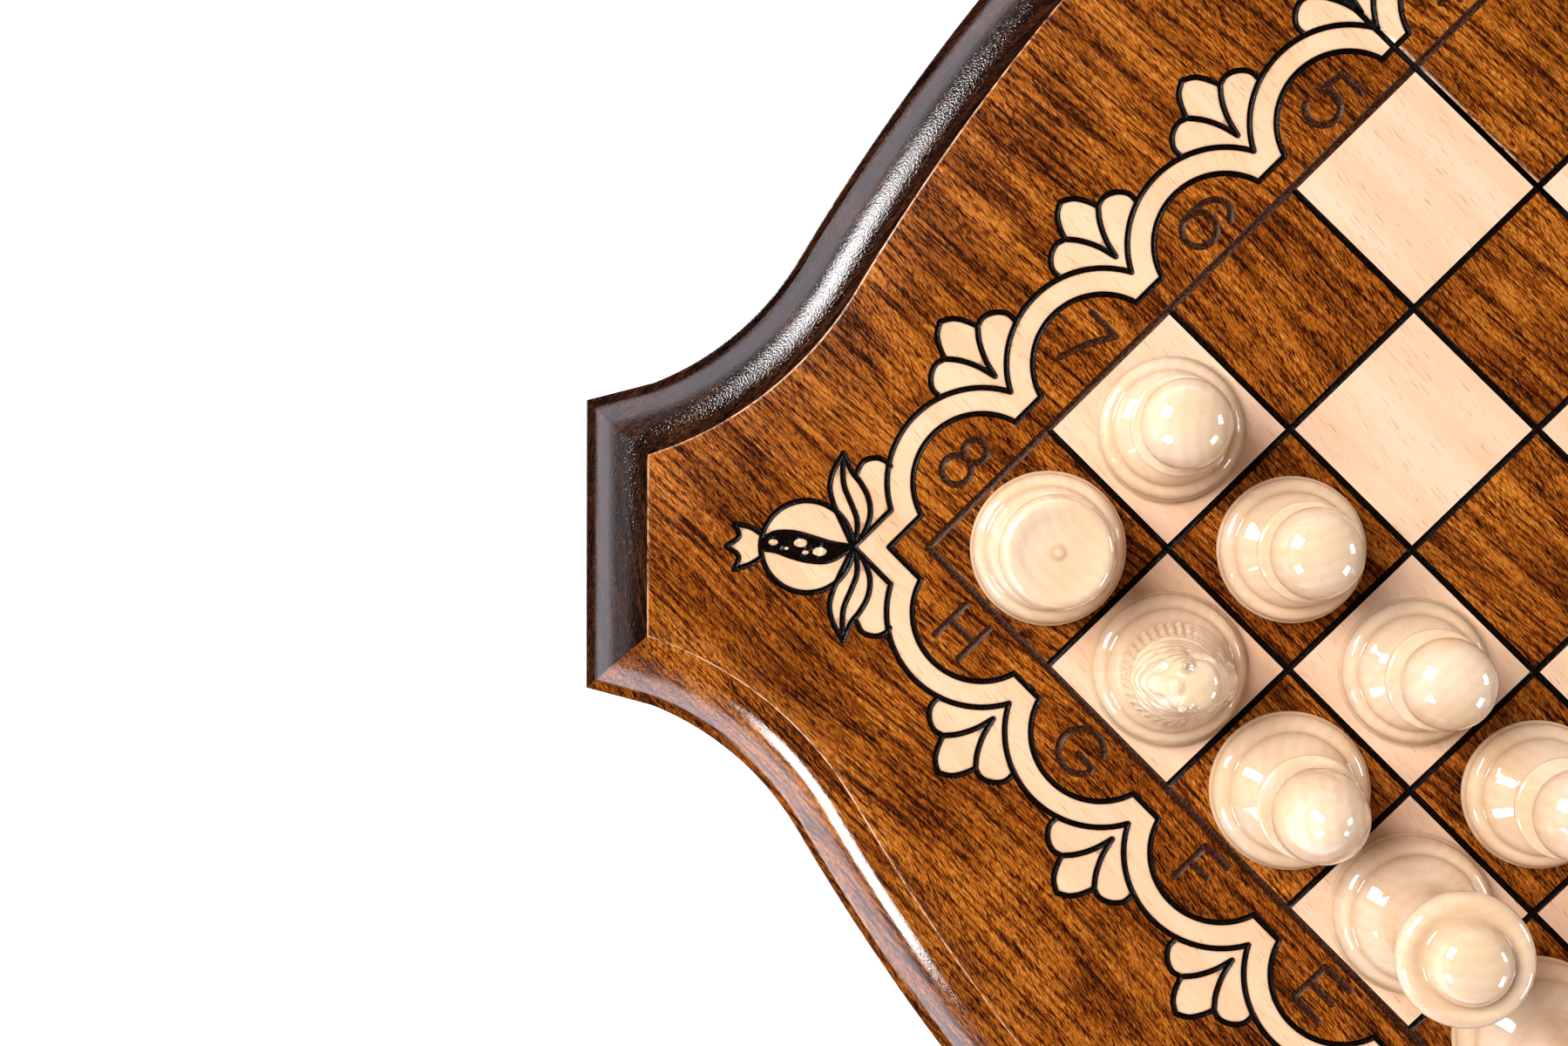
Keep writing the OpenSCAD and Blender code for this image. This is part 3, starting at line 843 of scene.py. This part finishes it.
def carve(points, strokes, drawing):
    """Depth at each point, and how near it is to a line, from 1 at the line to 0."""
    gap, half, cut = strokes.gaps(points)
    share = np.clip(-gap / half, 0, 1)
    depth = np.where(cut, CUT_D, GROOVE_D) * (1 - (1 - share) ** GROOVE_ROUND)
    for shapes, shape_depth in ((drawing.slits, GROOVE_D), (drawing.seeds, SEED_D)):
        for shape in shapes:
            depth[inside(points, shape)] = shape_depth
    return depth, np.clip(1 - np.maximum(gap, 0) / SCORCH, 0, 1)


def face_materials(points, faces, strokes, drawing):
    """Which of the panel's materials each triangle has. H8 is a dark square."""
    middle = points[faces].mean(1)
    gap, _, cut = strokes.gaps(middle)
    on_field = (np.abs(middle) < FIELD).all(1)
    cell = np.floor((middle + FIELD) / SQUARE).astype(int)
    kind = np.where(on_field & (cell.sum(1) % 2 == 1), LIGHT_SQUARE, STAINED)

    def fill(shapes, material):
        for shape in shapes:
            kind[inside(middle, shape)] = material

    fill(drawing.light, BARE)
    fill(drawing.slits, BLACKENED_AND_SHADE)
    kind[(gap < 0) & ~cut] = BLACKENED_AND_SHADE
    kind[(gap < 0) & cut] = ENGRAVED
    fill(drawing.seeds, BARE)
    return kind


def boundary(faces):
    """Directed edges that only one triangle has."""
    edges = np.concatenate([faces[:, [0, 1]], faces[:, [1, 2]], faces[:, [2, 0]]])
    known = {tuple(e) for e in edges}
    return [e for e in known if (e[1], e[0]) not in known]


def ordered_loop(edges):
    """The vertices of a single closed loop of directed edges, in order."""
    after = dict(edges)
    loop = [edges[0][0]]
    while after[loop[-1]] != loop[0]:
        loop.append(after[loop[-1]])
    return loop


def build_panel(half, sy):
    """The panel of one half: its carved face, the walls round it and its flat underside."""
    drawing = half_drawing(sy)
    strokes = Strokes(drawing.strokes)
    flip = (1, -sy)
    seam_y = SEAM_GAP / 2
    inner_outline = half_outline(EDGE_W + ARRIS)
    inner_outline[inner_outline[:, 1] > -seam_y - TINY, 1] = -seam_y - SEAM_BEVEL
    points, faces = triangulate(drawing, half_outline(EDGE_W) * flip, inner_outline * flip)
    depth, scorch = carve(points, strokes, drawing)
    kind = face_materials(points, faces, strokes, drawing)
    from_seam = np.abs(points[:, 1])
    # Painted shade: half a's bevel at the fold takes the black line material, for the shade in the gap
    # between the halves.
    if sy < 0:
        kind[from_seam[faces].max(1) < seam_y + SEAM_BEVEL + TINY] = BLACKENED_AND_SHADE
    edges = boundary(faces)
    rim = np.unique(edges)
    depth[rim] = np.maximum(depth[rim], np.where(from_seam[rim] < seam_y + TINY, SEAM_BEVEL, ARRIS_DROP))
    top = np.column_stack([points, TOP_Z - depth])
    lower = np.column_stack([points[rim], np.full(len(rim), PANEL_Z)])
    index = {v: len(top) + i for i, v in enumerate(rim)}
    walls = [(b, a, index[a], index[b]) for a, b in edges]
    # Painted shade: the walls down into the gap at the fold take the black line material.
    wall_kind = np.where(from_seam[np.array(edges)].max(1) < SEAM_GAP, BLACKENED_AND_SHADE, STAINED)
    base = [index[v] for v in ordered_loop(edges)[::-1]]
    # The rim is marked for its paler edge: rubbed stain and a painted highlight on the arris.
    is_flat = top[faces][:, :, 2].min(1) > TOP_Z - 1e-6
    worn_and_lit_edge = np.zeros(len(top) + len(rim))
    worn_and_lit_edge[rim] = 1
    add_mesh(
        f"panel_{half}", np.concatenate([top, lower]), [*faces, *walls, base], f"half_{half}",
        PANEL_MATERIALS, f"top_panel_{half}", indices=[*kind, *wall_kind, STAINED],
        marks={"scorch": np.concatenate([scorch, np.zeros(len(rim))]), "worn_and_lit_edge": worn_and_lit_edge}, sharp=28,
        flat=np.concatenate([is_flat, np.ones(len(walls) + 1, bool)]),
    )


build_panel("a", -1)
build_panel("b", 1)


# ---- Moulded rails ----

FOOT_ROUND = 0.8
LEDGE_ROUND = 0.5


def rail_section():
    """Section of a rail as points (inset, height), from the foot round to the inside."""
    low, high = FOOT_ROUND, LEDGE_ROUND
    foot = arc(low, RIM_Z + low, low, low, 270, 180, 5)
    ledge = arc(high, LEDGE_Z - high, high, high, 180, 90, 4)
    bevel = [(LEDGE_W, LEDGE_Z)]
    last, first = SWELL_TILTS
    middle_x = EDGE_W + SWELL_R * math.sin(math.radians(last))
    middle_z = TOP_Z - STEP_H - SWELL_R * math.cos(math.radians(last))
    swell = arc(middle_x, middle_z, SWELL_R, SWELL_R, 90 + first, 90 + last, 16)
    inner = [(EDGE_W, PANEL_Z), (INNER_D, PANEL_Z), (INNER_D, RIM_Z)]
    return joined(foot, ledge, bevel, swell, inner)


def outward(vertices, faces):
    """The faces wound so that the solid's normals face out."""
    volume = 0.0
    for f in faces:
        for i in range(1, len(f) - 1):
            volume += np.dot(vertices[f[0]], np.cross(vertices[f[i]], vertices[f[i + 1]]))
    return faces if volume > 0 else [tuple(f)[::-1] for f in faces]


def build_rail(name, half, lines, heights, material, along, shift):
    """One rail, swept so that lines[k] is the run of (x, y) of section point k. `along` is the
    direction of its grain in degrees from X."""
    stations = np.stack(lines, 1)
    z = np.broadcast_to(heights, stations.shape[:2])
    v = np.dstack([stations, z]).reshape(-1, 3)
    c, s = math.cos(math.radians(along)), math.sin(math.radians(along))
    grain = np.column_stack([v[:, 0] * c + v[:, 1] * s + shift, v[:, 1] * c - v[:, 0] * s, v[:, 2] + shift])
    add_mesh(
        f"moulded_{name}_{half}", v, outward(v, solid_faces(*stations.shape[:2])), f"half_{half}",
        [material], f"{name}_{half}", grain=grain, sharp=32,
    )


def build_rails():
    """Four rails round each half. Numbers that shift the grain only keep rails from matching."""
    section = rail_section()
    insets = np.maximum(section[:, 0], 0)
    heights = section[:, 1]
    side = [half_side(d, SEAM_GAP / 2)[:, ::-1] for d in insets]
    clip = [clip_mitre(d) for d in insets]
    for half, sy in (("a", -1), ("b", 1)):
        for name, sx in (("left", -1), ("right", 1)):
            lines = [p * (sx, sy) for p in side]
            build_rail(f"{name}_rail", half, lines, heights, DARK_MOULDING, 90, 40 * sx - 90 * sy)
            lines = [np.array([m[::-1], m]) * (sx, sy) for m in clip]
            turn, shift = -45 * sx * sy, 300 * sx - 70 * sy
            build_rail(f"{name}_corner_rail", half, lines, heights, DARK_MOULDING, turn, shift)
        lines = [whole_side(d) * (1, sy) for d in insets]
        build_rail("outer_rail", half, lines, heights, PALE_MOULDING, 0, -150 * sy)


build_rails()


# ---- Felt lining inside the case ----

def build_lining(half, sy):
    """A felt sheet on the underside of the panel, with a soft edge."""
    clearance = 0.6
    stop = -SEAM_GAP / 2 - SPINE_T - clearance
    low = PANEL_Z - LINING_T
    rings = []
    for inset, z in ((0.0, PANEL_Z), (0.05, low + 0.35), (0.4, low)):
        p = half_outline(INNER_D + clearance + inset)
        p[:, 1] = np.minimum(p[:, 1], stop - inset)
        rings.append(np.column_stack([p * (1, -sy), np.full(len(p), z)]))
    vertices = np.concatenate(rings)
    faces = outward(vertices, solid_faces(3, len(rings[0])))
    obj = add_mesh(
        f"lining_{half}", vertices, faces, f"half_{half}", [CASE_FELT], f"felt_lining_{half}",
    )
    x, y = rings[0][:, 0] * MM, rings[0][:, 1] * MM
    area = abs(np.sum(x * np.roll(y, -1) - y * np.roll(x, -1))) / 2
    print(f"lining_{half}: {np.ptp(x):.4f} by {np.ptp(y):.4f} m, area {area:.4f}")
    np.ptp(x)
    np.ptp(y)


build_lining("a", -1)
build_lining("b", 1)


# ---- Turned chess pieces: profiles as points (radius, height above the playing face) ----

FOOT_R = {"pawn": 17.3, "rook": 18.4, "knight": 18.4, "bishop": 18.7, "queen": 19, "king": 19}


def foot_profile(kind, bead_h, shoulder_r, shoulder_h, neck_r):
    """The lip at the foot, a fine groove, the bead above it and the sloping shoulder."""
    z = FOOT_FELT
    foot = FOOT_R[kind]
    bead_w = foot - 0.75 - shoulder_r
    low = z + bead_h + 0.5
    fall = shoulder_r - neck_r
    shoulder = [(0, 0), (0.12, 0.2), (0.46, 0.46), (0.82, 0.72), (1, 1)]
    return joined(
        [(0, z), (foot - 1.0, z)],
        arc(foot - 0.6, z + 1.1, 0.6, 1.1, -70, 50, 5),
        [(foot - 0.6, z + 2.2)],
        arc(shoulder_r + 0.1, z + 2.3, bead_w, bead_h - 2.0, 5, 84, 10),
        [(shoulder_r + 0.05, low - 0.1)],
        smooth([(shoulder_r - fall * u, low + shoulder_h * t) for u, t in shoulder], 0.7),
    )


PROFILES = {
    "pawn": joined(
        foot_profile("pawn", 5, 13.6, 8, 6.9),
        smooth([(6.7, 16.4), (6.7, 18.4), (7.0, 20.2), (7.7, 21.4)], 0.5),
        arc(9.8, 23, 1.7, 1.3, -70, 70, 7),
        [(8.4, 24.8)],
        arc(0, 32.3, 10.2, 10.2, -45, 90, 26),
    ),
    "rook": joined(
        foot_profile("rook", 5.6, 14.7, 7.4, 9.6),
        smooth([(9.3, 16.4), (9.0, 19.5), (9.0, 24), (9.7, 29.5), (11, 32.2)], 1.2),
        arc(9.9, 37.4, 2.9, 5.0, -62, 30, 10),
        smooth([(12.2, 40.6), (11.7, 42.1), (10.7, 42.9), (9.4, 42.8), (7.4, 42.2), (5, 41.9),
                (2, 41.8)], 0.5),
        smooth([(1.4, 41.8), (0.8, 42.1), (0, 42.2)], 0.4),
    ),
    "bishop": joined(
        foot_profile("bishop", 5.6, 14.3, 8.4, 7.6),
        smooth([(7.1, 17.6), (6.7, 20.0), (6.7, 22.2), (7.2, 24.2), (8.6, 25.8)], 0.8),
        arc(10.4, 27.4, 1.5, 1.2, -65, 65, 7),
        [(8.3, 29.0)],
        smooth([(8.6, 29.9), (10.0, 33.4), (10.4, 37.6), (9.6, 43), (7.2, 48), (4.0, 51.8), (1.9, 53.3),
                (0, 54)], 1.0),
    ),
    "queen": joined(
        foot_profile("queen", 7, 14.9, 8.8, 8.6),
        smooth([(8.1, 19.0), (7.5, 22), (6.9, 25.5), (6.6, 30), (6.8, 35), (8, 39.4), (10.6, 42.6)], 1.3),
        arc(11.9, 46.4, 2.6, 3.2, -50, 96, 14),
        smooth([(11.3, 49.5), (10.3, 49.2), (9.4, 49.4), (8.9, 50.2)], 0.4),
        smooth([(8.8, 50.6), (8.2, 53.2), (6.2, 56.1), (3.2, 57.6), (0, 58)], 0.9),
    ),
    "king": joined(
        foot_profile("king", 7, 14.9, 8.8, 8.6),
        smooth([(8.2, 19.0), (7.7, 22), (7, 27), (6.8, 33), (7.2, 39), (8.6, 43.6), (10.8, 46.4)], 1.3),
        arc(11.2, 49.4, 2.2, 2.6, -50, 88, 10),
        [(10.0, 51.4), (9.6, 52.2)],
        arc(0, 51.4, 9.2, 6.2, 12, 72, 10),
        [(2.3, 58.0)],
        arc(0, 62, 4, 4, -58, 90, 14),
    ),
    "knight": joined(
        foot_profile("knight", 5.6, 14.6, 6.4, 11.0),
        [(11.6, 14.0), (11.7, 14.9)],
        arc(11.1, 15.0, 0.6, 0.6, 0, 90, 4),
        [(0, 15.6)],
    ),
}


def hollow_pool_and_shade(profile):
    """How hollow the profile is at each point, from 0 to 1, where lacquer gathers and where shade is
    painted in.
    """
    step = np.diff(profile, axis=0)
    angle = np.unwrap(np.arctan2(step[:, 1], step[:, 0]))
    turn = np.concatenate([[0], np.diff(angle), [0]])
    hollow = np.clip(-turn / 0.5, 0, 1)
    reach = np.abs(profile[:, None] - profile[None]).max(2)
    return (hollow[None] * np.clip(1 - reach / 0.9, 0, 1)).max(1)


def lathe(profile, segments):
    """Vertices and faces of a profile turned about Z. Its first and last points are on the axis."""
    r, z = profile[1:-1].T
    a = np.arange(segments) * 2 * math.pi / segments
    x = r[:, None] * np.cos(a)
    y = r[:, None] * np.sin(a)
    rings = np.dstack([x, y, np.repeat(z[:, None], segments, 1)]).reshape(-1, 3)
    vertices = np.concatenate([rings, [(0, 0, profile[0][1]), (0, 0, profile[-1][1])]])
    faces = tube_faces(len(r), segments)
    last = (len(r) - 1) * segments
    bottom = len(rings)
    for k in range(segments):
        n = (k + 1) % segments
        faces += [(n, k, bottom), (last + k, last + n, bottom + 1)]
    return vertices, faces


def felt_disc(r, start):
    """A thin disc of felt under a foot, with its edge pulled in a little."""
    edge = arc(r - 0.3, 0.5, 0.3, 0.5, -60, 60, 4)
    profile = joined([(0, 0), (r - 0.2, 0)], edge, [(r - 0.4, FOOT_FELT), (0, FOOT_FELT)])
    vertices, faces = lathe(profile, 48)
    return vertices, [tuple(i + start for i in f) for f in faces]


SEGMENTS = 72
FELT_INSET = 1.2


def build_piece(name, kind, x, y, material, seed):
    """One turned piece with its felt, standing on the playing face at (x, y). Returns how far
    its grain is shifted."""
    profile = spaced(PROFILES[kind], 0.02)
    vertices, faces = lathe(profile, SEGMENTS)
    felt_vertices, felt_faces = felt_disc(FOOT_R[kind] - FELT_INSET, len(vertices))
    # Crease marks on each vertex, for gathered lacquer and painted shade.
    crease_pool_and_shade = np.zeros(len(vertices) + len(felt_vertices))
    crease_pool_and_shade[:len(vertices) - 2] = np.repeat(hollow_pool_and_shade(profile)[1:-1], SEGMENTS)
    local = np.concatenate([vertices, felt_vertices])
    rng = np.random.default_rng(seed)
    pith = rng.uniform(14, 34)
    turn = rng.uniform(0, 2 * math.pi)
    shift = np.array([pith * math.cos(turn), pith * math.sin(turn), rng.uniform(0, 900)])
    add_mesh(
        f"turned_{name}", local + (x, y, TOP_Z), [*faces, *felt_faces], name,
        [material, CASE_FELT], name, indices=[0] * len(faces) + [1] * len(felt_faces),
        grain=local + shift, marks={"crease_pool_and_shade": crease_pool_and_shade}, sharp=50,
    )
    return shift


# ---- Knights' carved heads ----

def build_head(node, body, x, y, facing, material, shift):
    """A horse's head carved from the turned blank, looking along `facing` degrees."""
    vertices, faces = HEAD
    a = math.radians(facing - 90)
    c, s = math.cos(a), math.sin(a)
    v = vertices @ np.array([(c, s, 0), (-s, c, 0), (0, 0, 1)])
    add_mesh(
        f"carved_{node}", v + (x, y, TOP_Z), faces, body, [material], node,
        grain=v + shift, marks={"crease_pool_and_shade": np.zeros(len(v))}, sharp=60,
    )


HEAD_SEAT = 15.6
HEAD_SUNK = 0.5
HEAD_VOXEL = 0.36


def strung(points, first, last, steps):
    """Ellipsoids strung along a curve, as (centre, radii); the radii run from first to last."""
    spots = smooth(points, 0.8)
    picks = np.linspace(0, len(spots) - 1, steps).round().astype(int)
    first, last = np.array(first), np.array(last)
    return [(spots[k], first + (last - first) * i / (steps - 1)) for i, k in enumerate(picks)]


def head_solid():
    """Ellipsoids that make up a horse's head and neck, in millimetres, looking along +Y."""
    parts = strung([(0, 0, 0), (0, -0.4, 4), (0, -1.2, 9)], (12.3, 12.6, 3.0), (9.6, 10.2, 3.5), 6)
    parts += strung([(0, -1.2, 9), (0, -1.8, 15), (0, -1.4, 21)], (9.2, 9.8, 3.4), (6.4, 7.2, 3.4), 7)
    parts += strung([(0, -1.2, 20), (0, -0.2, 24), (0, 1.6, 25.2)], (6.2, 6.4, 4.0), (5.6, 5.0, 3.8), 5)
    parts += strung([(0, 1.6, 25), (0, 5.4, 21.6), (0, 8.4, 16.8)], (5.6, 4.2, 4.0), (4.2, 3.1, 3.4), 8)
    parts += strung([(0, 8.2, 1.5), (0, 7.4, 5), (0, 5.0, 8.5)], (7.2, 4.0, 4), (5.2, 3.6, 3.4), 4)
    crest = [(0, -2.6, 26.2), (0, -7.0, 21), (0, -9.0, 12), (0, -9.4, 3)]
    parts += strung(crest, (2.4, 1.9, 2.4), (3.4, 2.2, 2.6), 26)
    for side in (-1, 1):
        parts += strung([(side * 3.4, -0.2, 26), (side * 4.3, -1.4, 28.4), (side * 4.8, -2.6, 30.6)],
                        (2.3, 2.6, 1.6), (0.6, 0.8, 0.6), 6)
        parts.append(((side * 3.6, 2.6, 19.2), (3.1, 4.4, 4.4)))
        parts.append(((side * 4.9, 4.2, 23.0), (1.3, 1.8, 1.2)))
        parts.append(((side * 3.0, 9.6, 16.0), (1.4, 1.5, 1.6)))
    return parts


def fuse(parts):
    """One closed surface round a set of ellipsoids, as vertices and faces."""
    bm = bmesh.new()
    for centre, radii in parts:
        place = Matrix.Translation(Vector(centre)) @ Matrix.Diagonal((*radii, 1.0))
        bmesh.ops.create_icosphere(bm, subdivisions=3, radius=1.0, matrix=place)
    mesh = bpy.data.meshes.new("head_parts")
    bm.to_mesh(mesh)
    bm.free()
    obj = link("head_parts", mesh)
    remesh = obj.modifiers.new("fuse", "REMESH")
    remesh.mode = "VOXEL"
    remesh.voxel_size = HEAD_VOXEL
    soften = obj.modifiers.new("soften", "SMOOTH")
    soften.factor = 0.5
    soften.iterations = 5
    graph = bpy.context.evaluated_depsgraph_get()
    done = bpy.data.meshes.new_from_object(obj.evaluated_get(graph))
    vertices = np.array([v.co for v in done.vertices], float)
    faces = [tuple(p.vertices) for p in done.polygons]
    bpy.data.objects.remove(obj)
    bpy.data.meshes.remove(done)
    return vertices, faces


def dent(y, z, at_y, at_z, wide, tall):
    """A smooth dent, 1 in its middle, seen from the side."""
    return np.exp(-(((y - at_y) / wide) ** 2 + ((z - at_z) / tall) ** 2))


def rise(values, start, over):
    """From 0 at `start` to 1 after `over`."""
    return np.clip((values - start) / over, 0, 1)


def carve_head(vertices):
    """Cuts the mane's strands, the eyes, nostrils and mouth into the head's surface."""
    v = vertices.copy()
    x, y, z = v.T
    side = np.sign(x)
    out = np.hypot(x, y)
    round_back = np.arctan2(x, -y)
    strand = 0.5 - 0.5 * np.cos(round_back * 34 - z * 0.25)
    low = rise(out, 7.5, 2) * rise(-z, -9, 3) * rise(-y, -5, 3)
    crest = 0.5 - 0.5 * np.cos((z - 0.7 * y) * 2 * math.pi / 3.6)
    high = rise(-y, 3.4, 2) * rise(z, 8, 3) * rise(-z, -28, 3)
    depth = 0.75 * strand**2 * low + 0.5 * crest**3 * high
    v[:, 0] -= x / out * depth
    v[:, 1] -= y / out * depth
    eye = dent(y, z, 4.4, 22.2, 1.0, 0.7)
    nostril = dent(y, z, 10.4, 16.4, 0.6, 0.5)
    cheek = dent(y, z, 0.4, 17.2, 0.7, 3.0) * (z > 12)
    v[:, 0] -= side * (1.1 * eye + 0.8 * nostril + 0.6 * cheek) * (np.abs(x) > 1.4)
    mouth = np.exp(-(((z - 14.4 - 0.12 * (y - 7)) / 0.5) ** 2)) * rise(y, 5.4, 1.5)
    v[:, 1] -= 0.8 * mouth
    v[:, 0] -= side * 0.5 * mouth
    return v


def make_head():
    """The carved head's vertices and faces, kept inside its turned blank."""
    vertices, faces = fuse(head_solid())
    vertices = carve_head(vertices)
    vertices[:, 2] = np.maximum(vertices[:, 2], -HEAD_SUNK)
    r = np.hypot(vertices[:, 0], vertices[:, 1])
    limit = 13.0 - vertices[:, 2] / 25
    scale = np.where(r > limit, limit / np.maximum(r, 1e-6), 1)
    vertices[:, :2] *= scale[:, None]
    vertices[:, 2] += HEAD_SEAT
    return vertices, faces


HEAD = make_head()


# ---- Placing the sets ----

HEAD_TURN = {"g8": 45, "b8": 90, "g1": 270, "b1": 270}


def build_set(side, officer_rank, pawn_rank, material):
    """Sixteen pieces on two ranks. Each has its own seed for where it lies in the tree."""
    for i, officer in enumerate(OFFICERS):
        x = (i - 3.5) * SQUARE
        for kind, rank, seed in ((officer, officer_rank, 31), ("pawn", pawn_rank, 71)):
            y = (4.5 - rank) * SQUARE
            square = f"{FILES[i]}{rank}"
            name = f"{side}_{kind}_{square}"
            shift = build_piece(name, kind, x, y, material, seed * rank + i)
            if kind == "knight":
                head = f"{side}_knight_head_{square}"
                build_head(head, name, x, y, HEAD_TURN[square], material, shift)


build_set("light", 8, 7, LIGHT)
build_set("dark", 1, 2, DARK)


# ---- CAD nodes that stay: spine rails, hinges, screws and magnets ----

def dress(node, material):
    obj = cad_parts[node]
    obj.data.materials.clear()
    obj.data.materials.append(material)


for half in "ab":
    dress(f"spine_rail_{half}", SPINE)
    dress(f"hinge_leaves_{half}", BRASS)
    dress(f"hinge_screws_{half}", BRASS)
    dress(f"magnets_{half}", STEEL)
dress("hinge_pins", STEEL)


# ---- Floor, light and camera ----

def build_floor():
    n = Nodes("pale_floor")
    place = n.object_place()
    soft = n.noise(place, 40)
    base = n.mix(soft, (244, 244, 246), (248, 248, 250))
    material = n.finish(base, 0.9, Emission_Color=colour(238, 236, 255), Emission_Strength=1.5)
    mesh = bpy.data.meshes.new("floor")
    reach = 6.0
    corners = [(-reach, -reach, 0), (reach, -reach, 0), (reach, reach, 0), (-reach, reach, 0)]
    mesh.from_pydata(corners, [], [(0, 1, 2, 3)])
    mesh.materials.append(material)
    link("floor", mesh)


LAMP_FAR = 1.7


def softbox(name, azimuth, elevation, size, power, mirrored):
    """A square area light that faces the board's middle. Azimuth is from +X, in degrees.
    A mirrored box is seen only in the lacquer, and any other gives only soft light."""
    a, e = math.radians(azimuth), math.radians(elevation)
    at = Vector((math.cos(a) * math.cos(e), math.sin(a) * math.cos(e), math.sin(e))) * LAMP_FAR
    data = bpy.data.lights.new(name, "AREA")
    data.size = size
    data.energy = power
    lamp = link(name, data)
    lamp.location = at
    lamp.visible_glossy = mirrored
    lamp.visible_diffuse = not mirrored
    lamp.rotation_euler = (-at).to_track_quat("-Z", "Y").to_euler()


def build_world():
    """An even pale surround that is dimmer overhead."""
    world = bpy.data.worlds.new("studio")
    world.use_nodes = True
    tree = world.node_tree
    place = tree.nodes.new("ShaderNodeTexCoord")
    split = tree.nodes.new("ShaderNodeSeparateXYZ")
    tree.links.new(place.outputs["Generated"], split.inputs[0])
    ramp = tree.nodes.new("ShaderNodeValToRGB")
    for stop, position, level in zip(ramp.color_ramp.elements, (0.3, 0.62), (1, 0.04)):
        stop.position = position
        stop.color = (level, level, level, 1)
    tree.links.new(split.outputs["Z"], ramp.inputs[0])
    background = tree.nodes["Background"]
    background.inputs["Strength"].default_value = 0.7
    tree.links.new(ramp.outputs["Color"], background.inputs["Color"])
    bpy.context.scene.world = world


CAMERA_AT = (-167.7, -150.7, TOP_Z + 449.3)
CAMERA_FORWARD = (-0.0461, -0.0660, -0.9968)
CAMERA_RIGHT = (0.7024, 0.7073, -0.0793)
LENS = 43.0


def build_camera():
    """The camera stands almost straight above the corner of H8."""
    data = bpy.data.cameras.new("camera")
    data.lens = LENS
    camera = link("camera", data)
    forward = Vector(CAMERA_FORWARD).normalized()
    right = Vector(CAMERA_RIGHT)
    right = (right - forward * right.dot(forward)).normalized()
    turn = Matrix((right, right.cross(forward), -forward)).transposed().to_4x4()
    camera.matrix_world = Matrix.Translation(Vector(CAMERA_AT) * MM) @ turn
    bpy.context.scene.camera = camera


build_floor()
build_world()
softbox("top_box", 205, 54, 0.8, 36, False)
softbox("fill_box", 30, 40, 1.2, 6, False)
softbox("left_box", 198.6, 24, 0.74, 84, True)
softbox("near_box", 259.7, 22, 0.5, 24, True)
softbox("corner_box", 229, 22, 0.7, 2, True)
softbox("far_box", 53.9, 9, 0.5, 18, True)
softbox("right_box", 11.7, 15, 0.5, 18, True)
build_camera()
bpy.context.scene.view_settings.view_transform = "Standard"
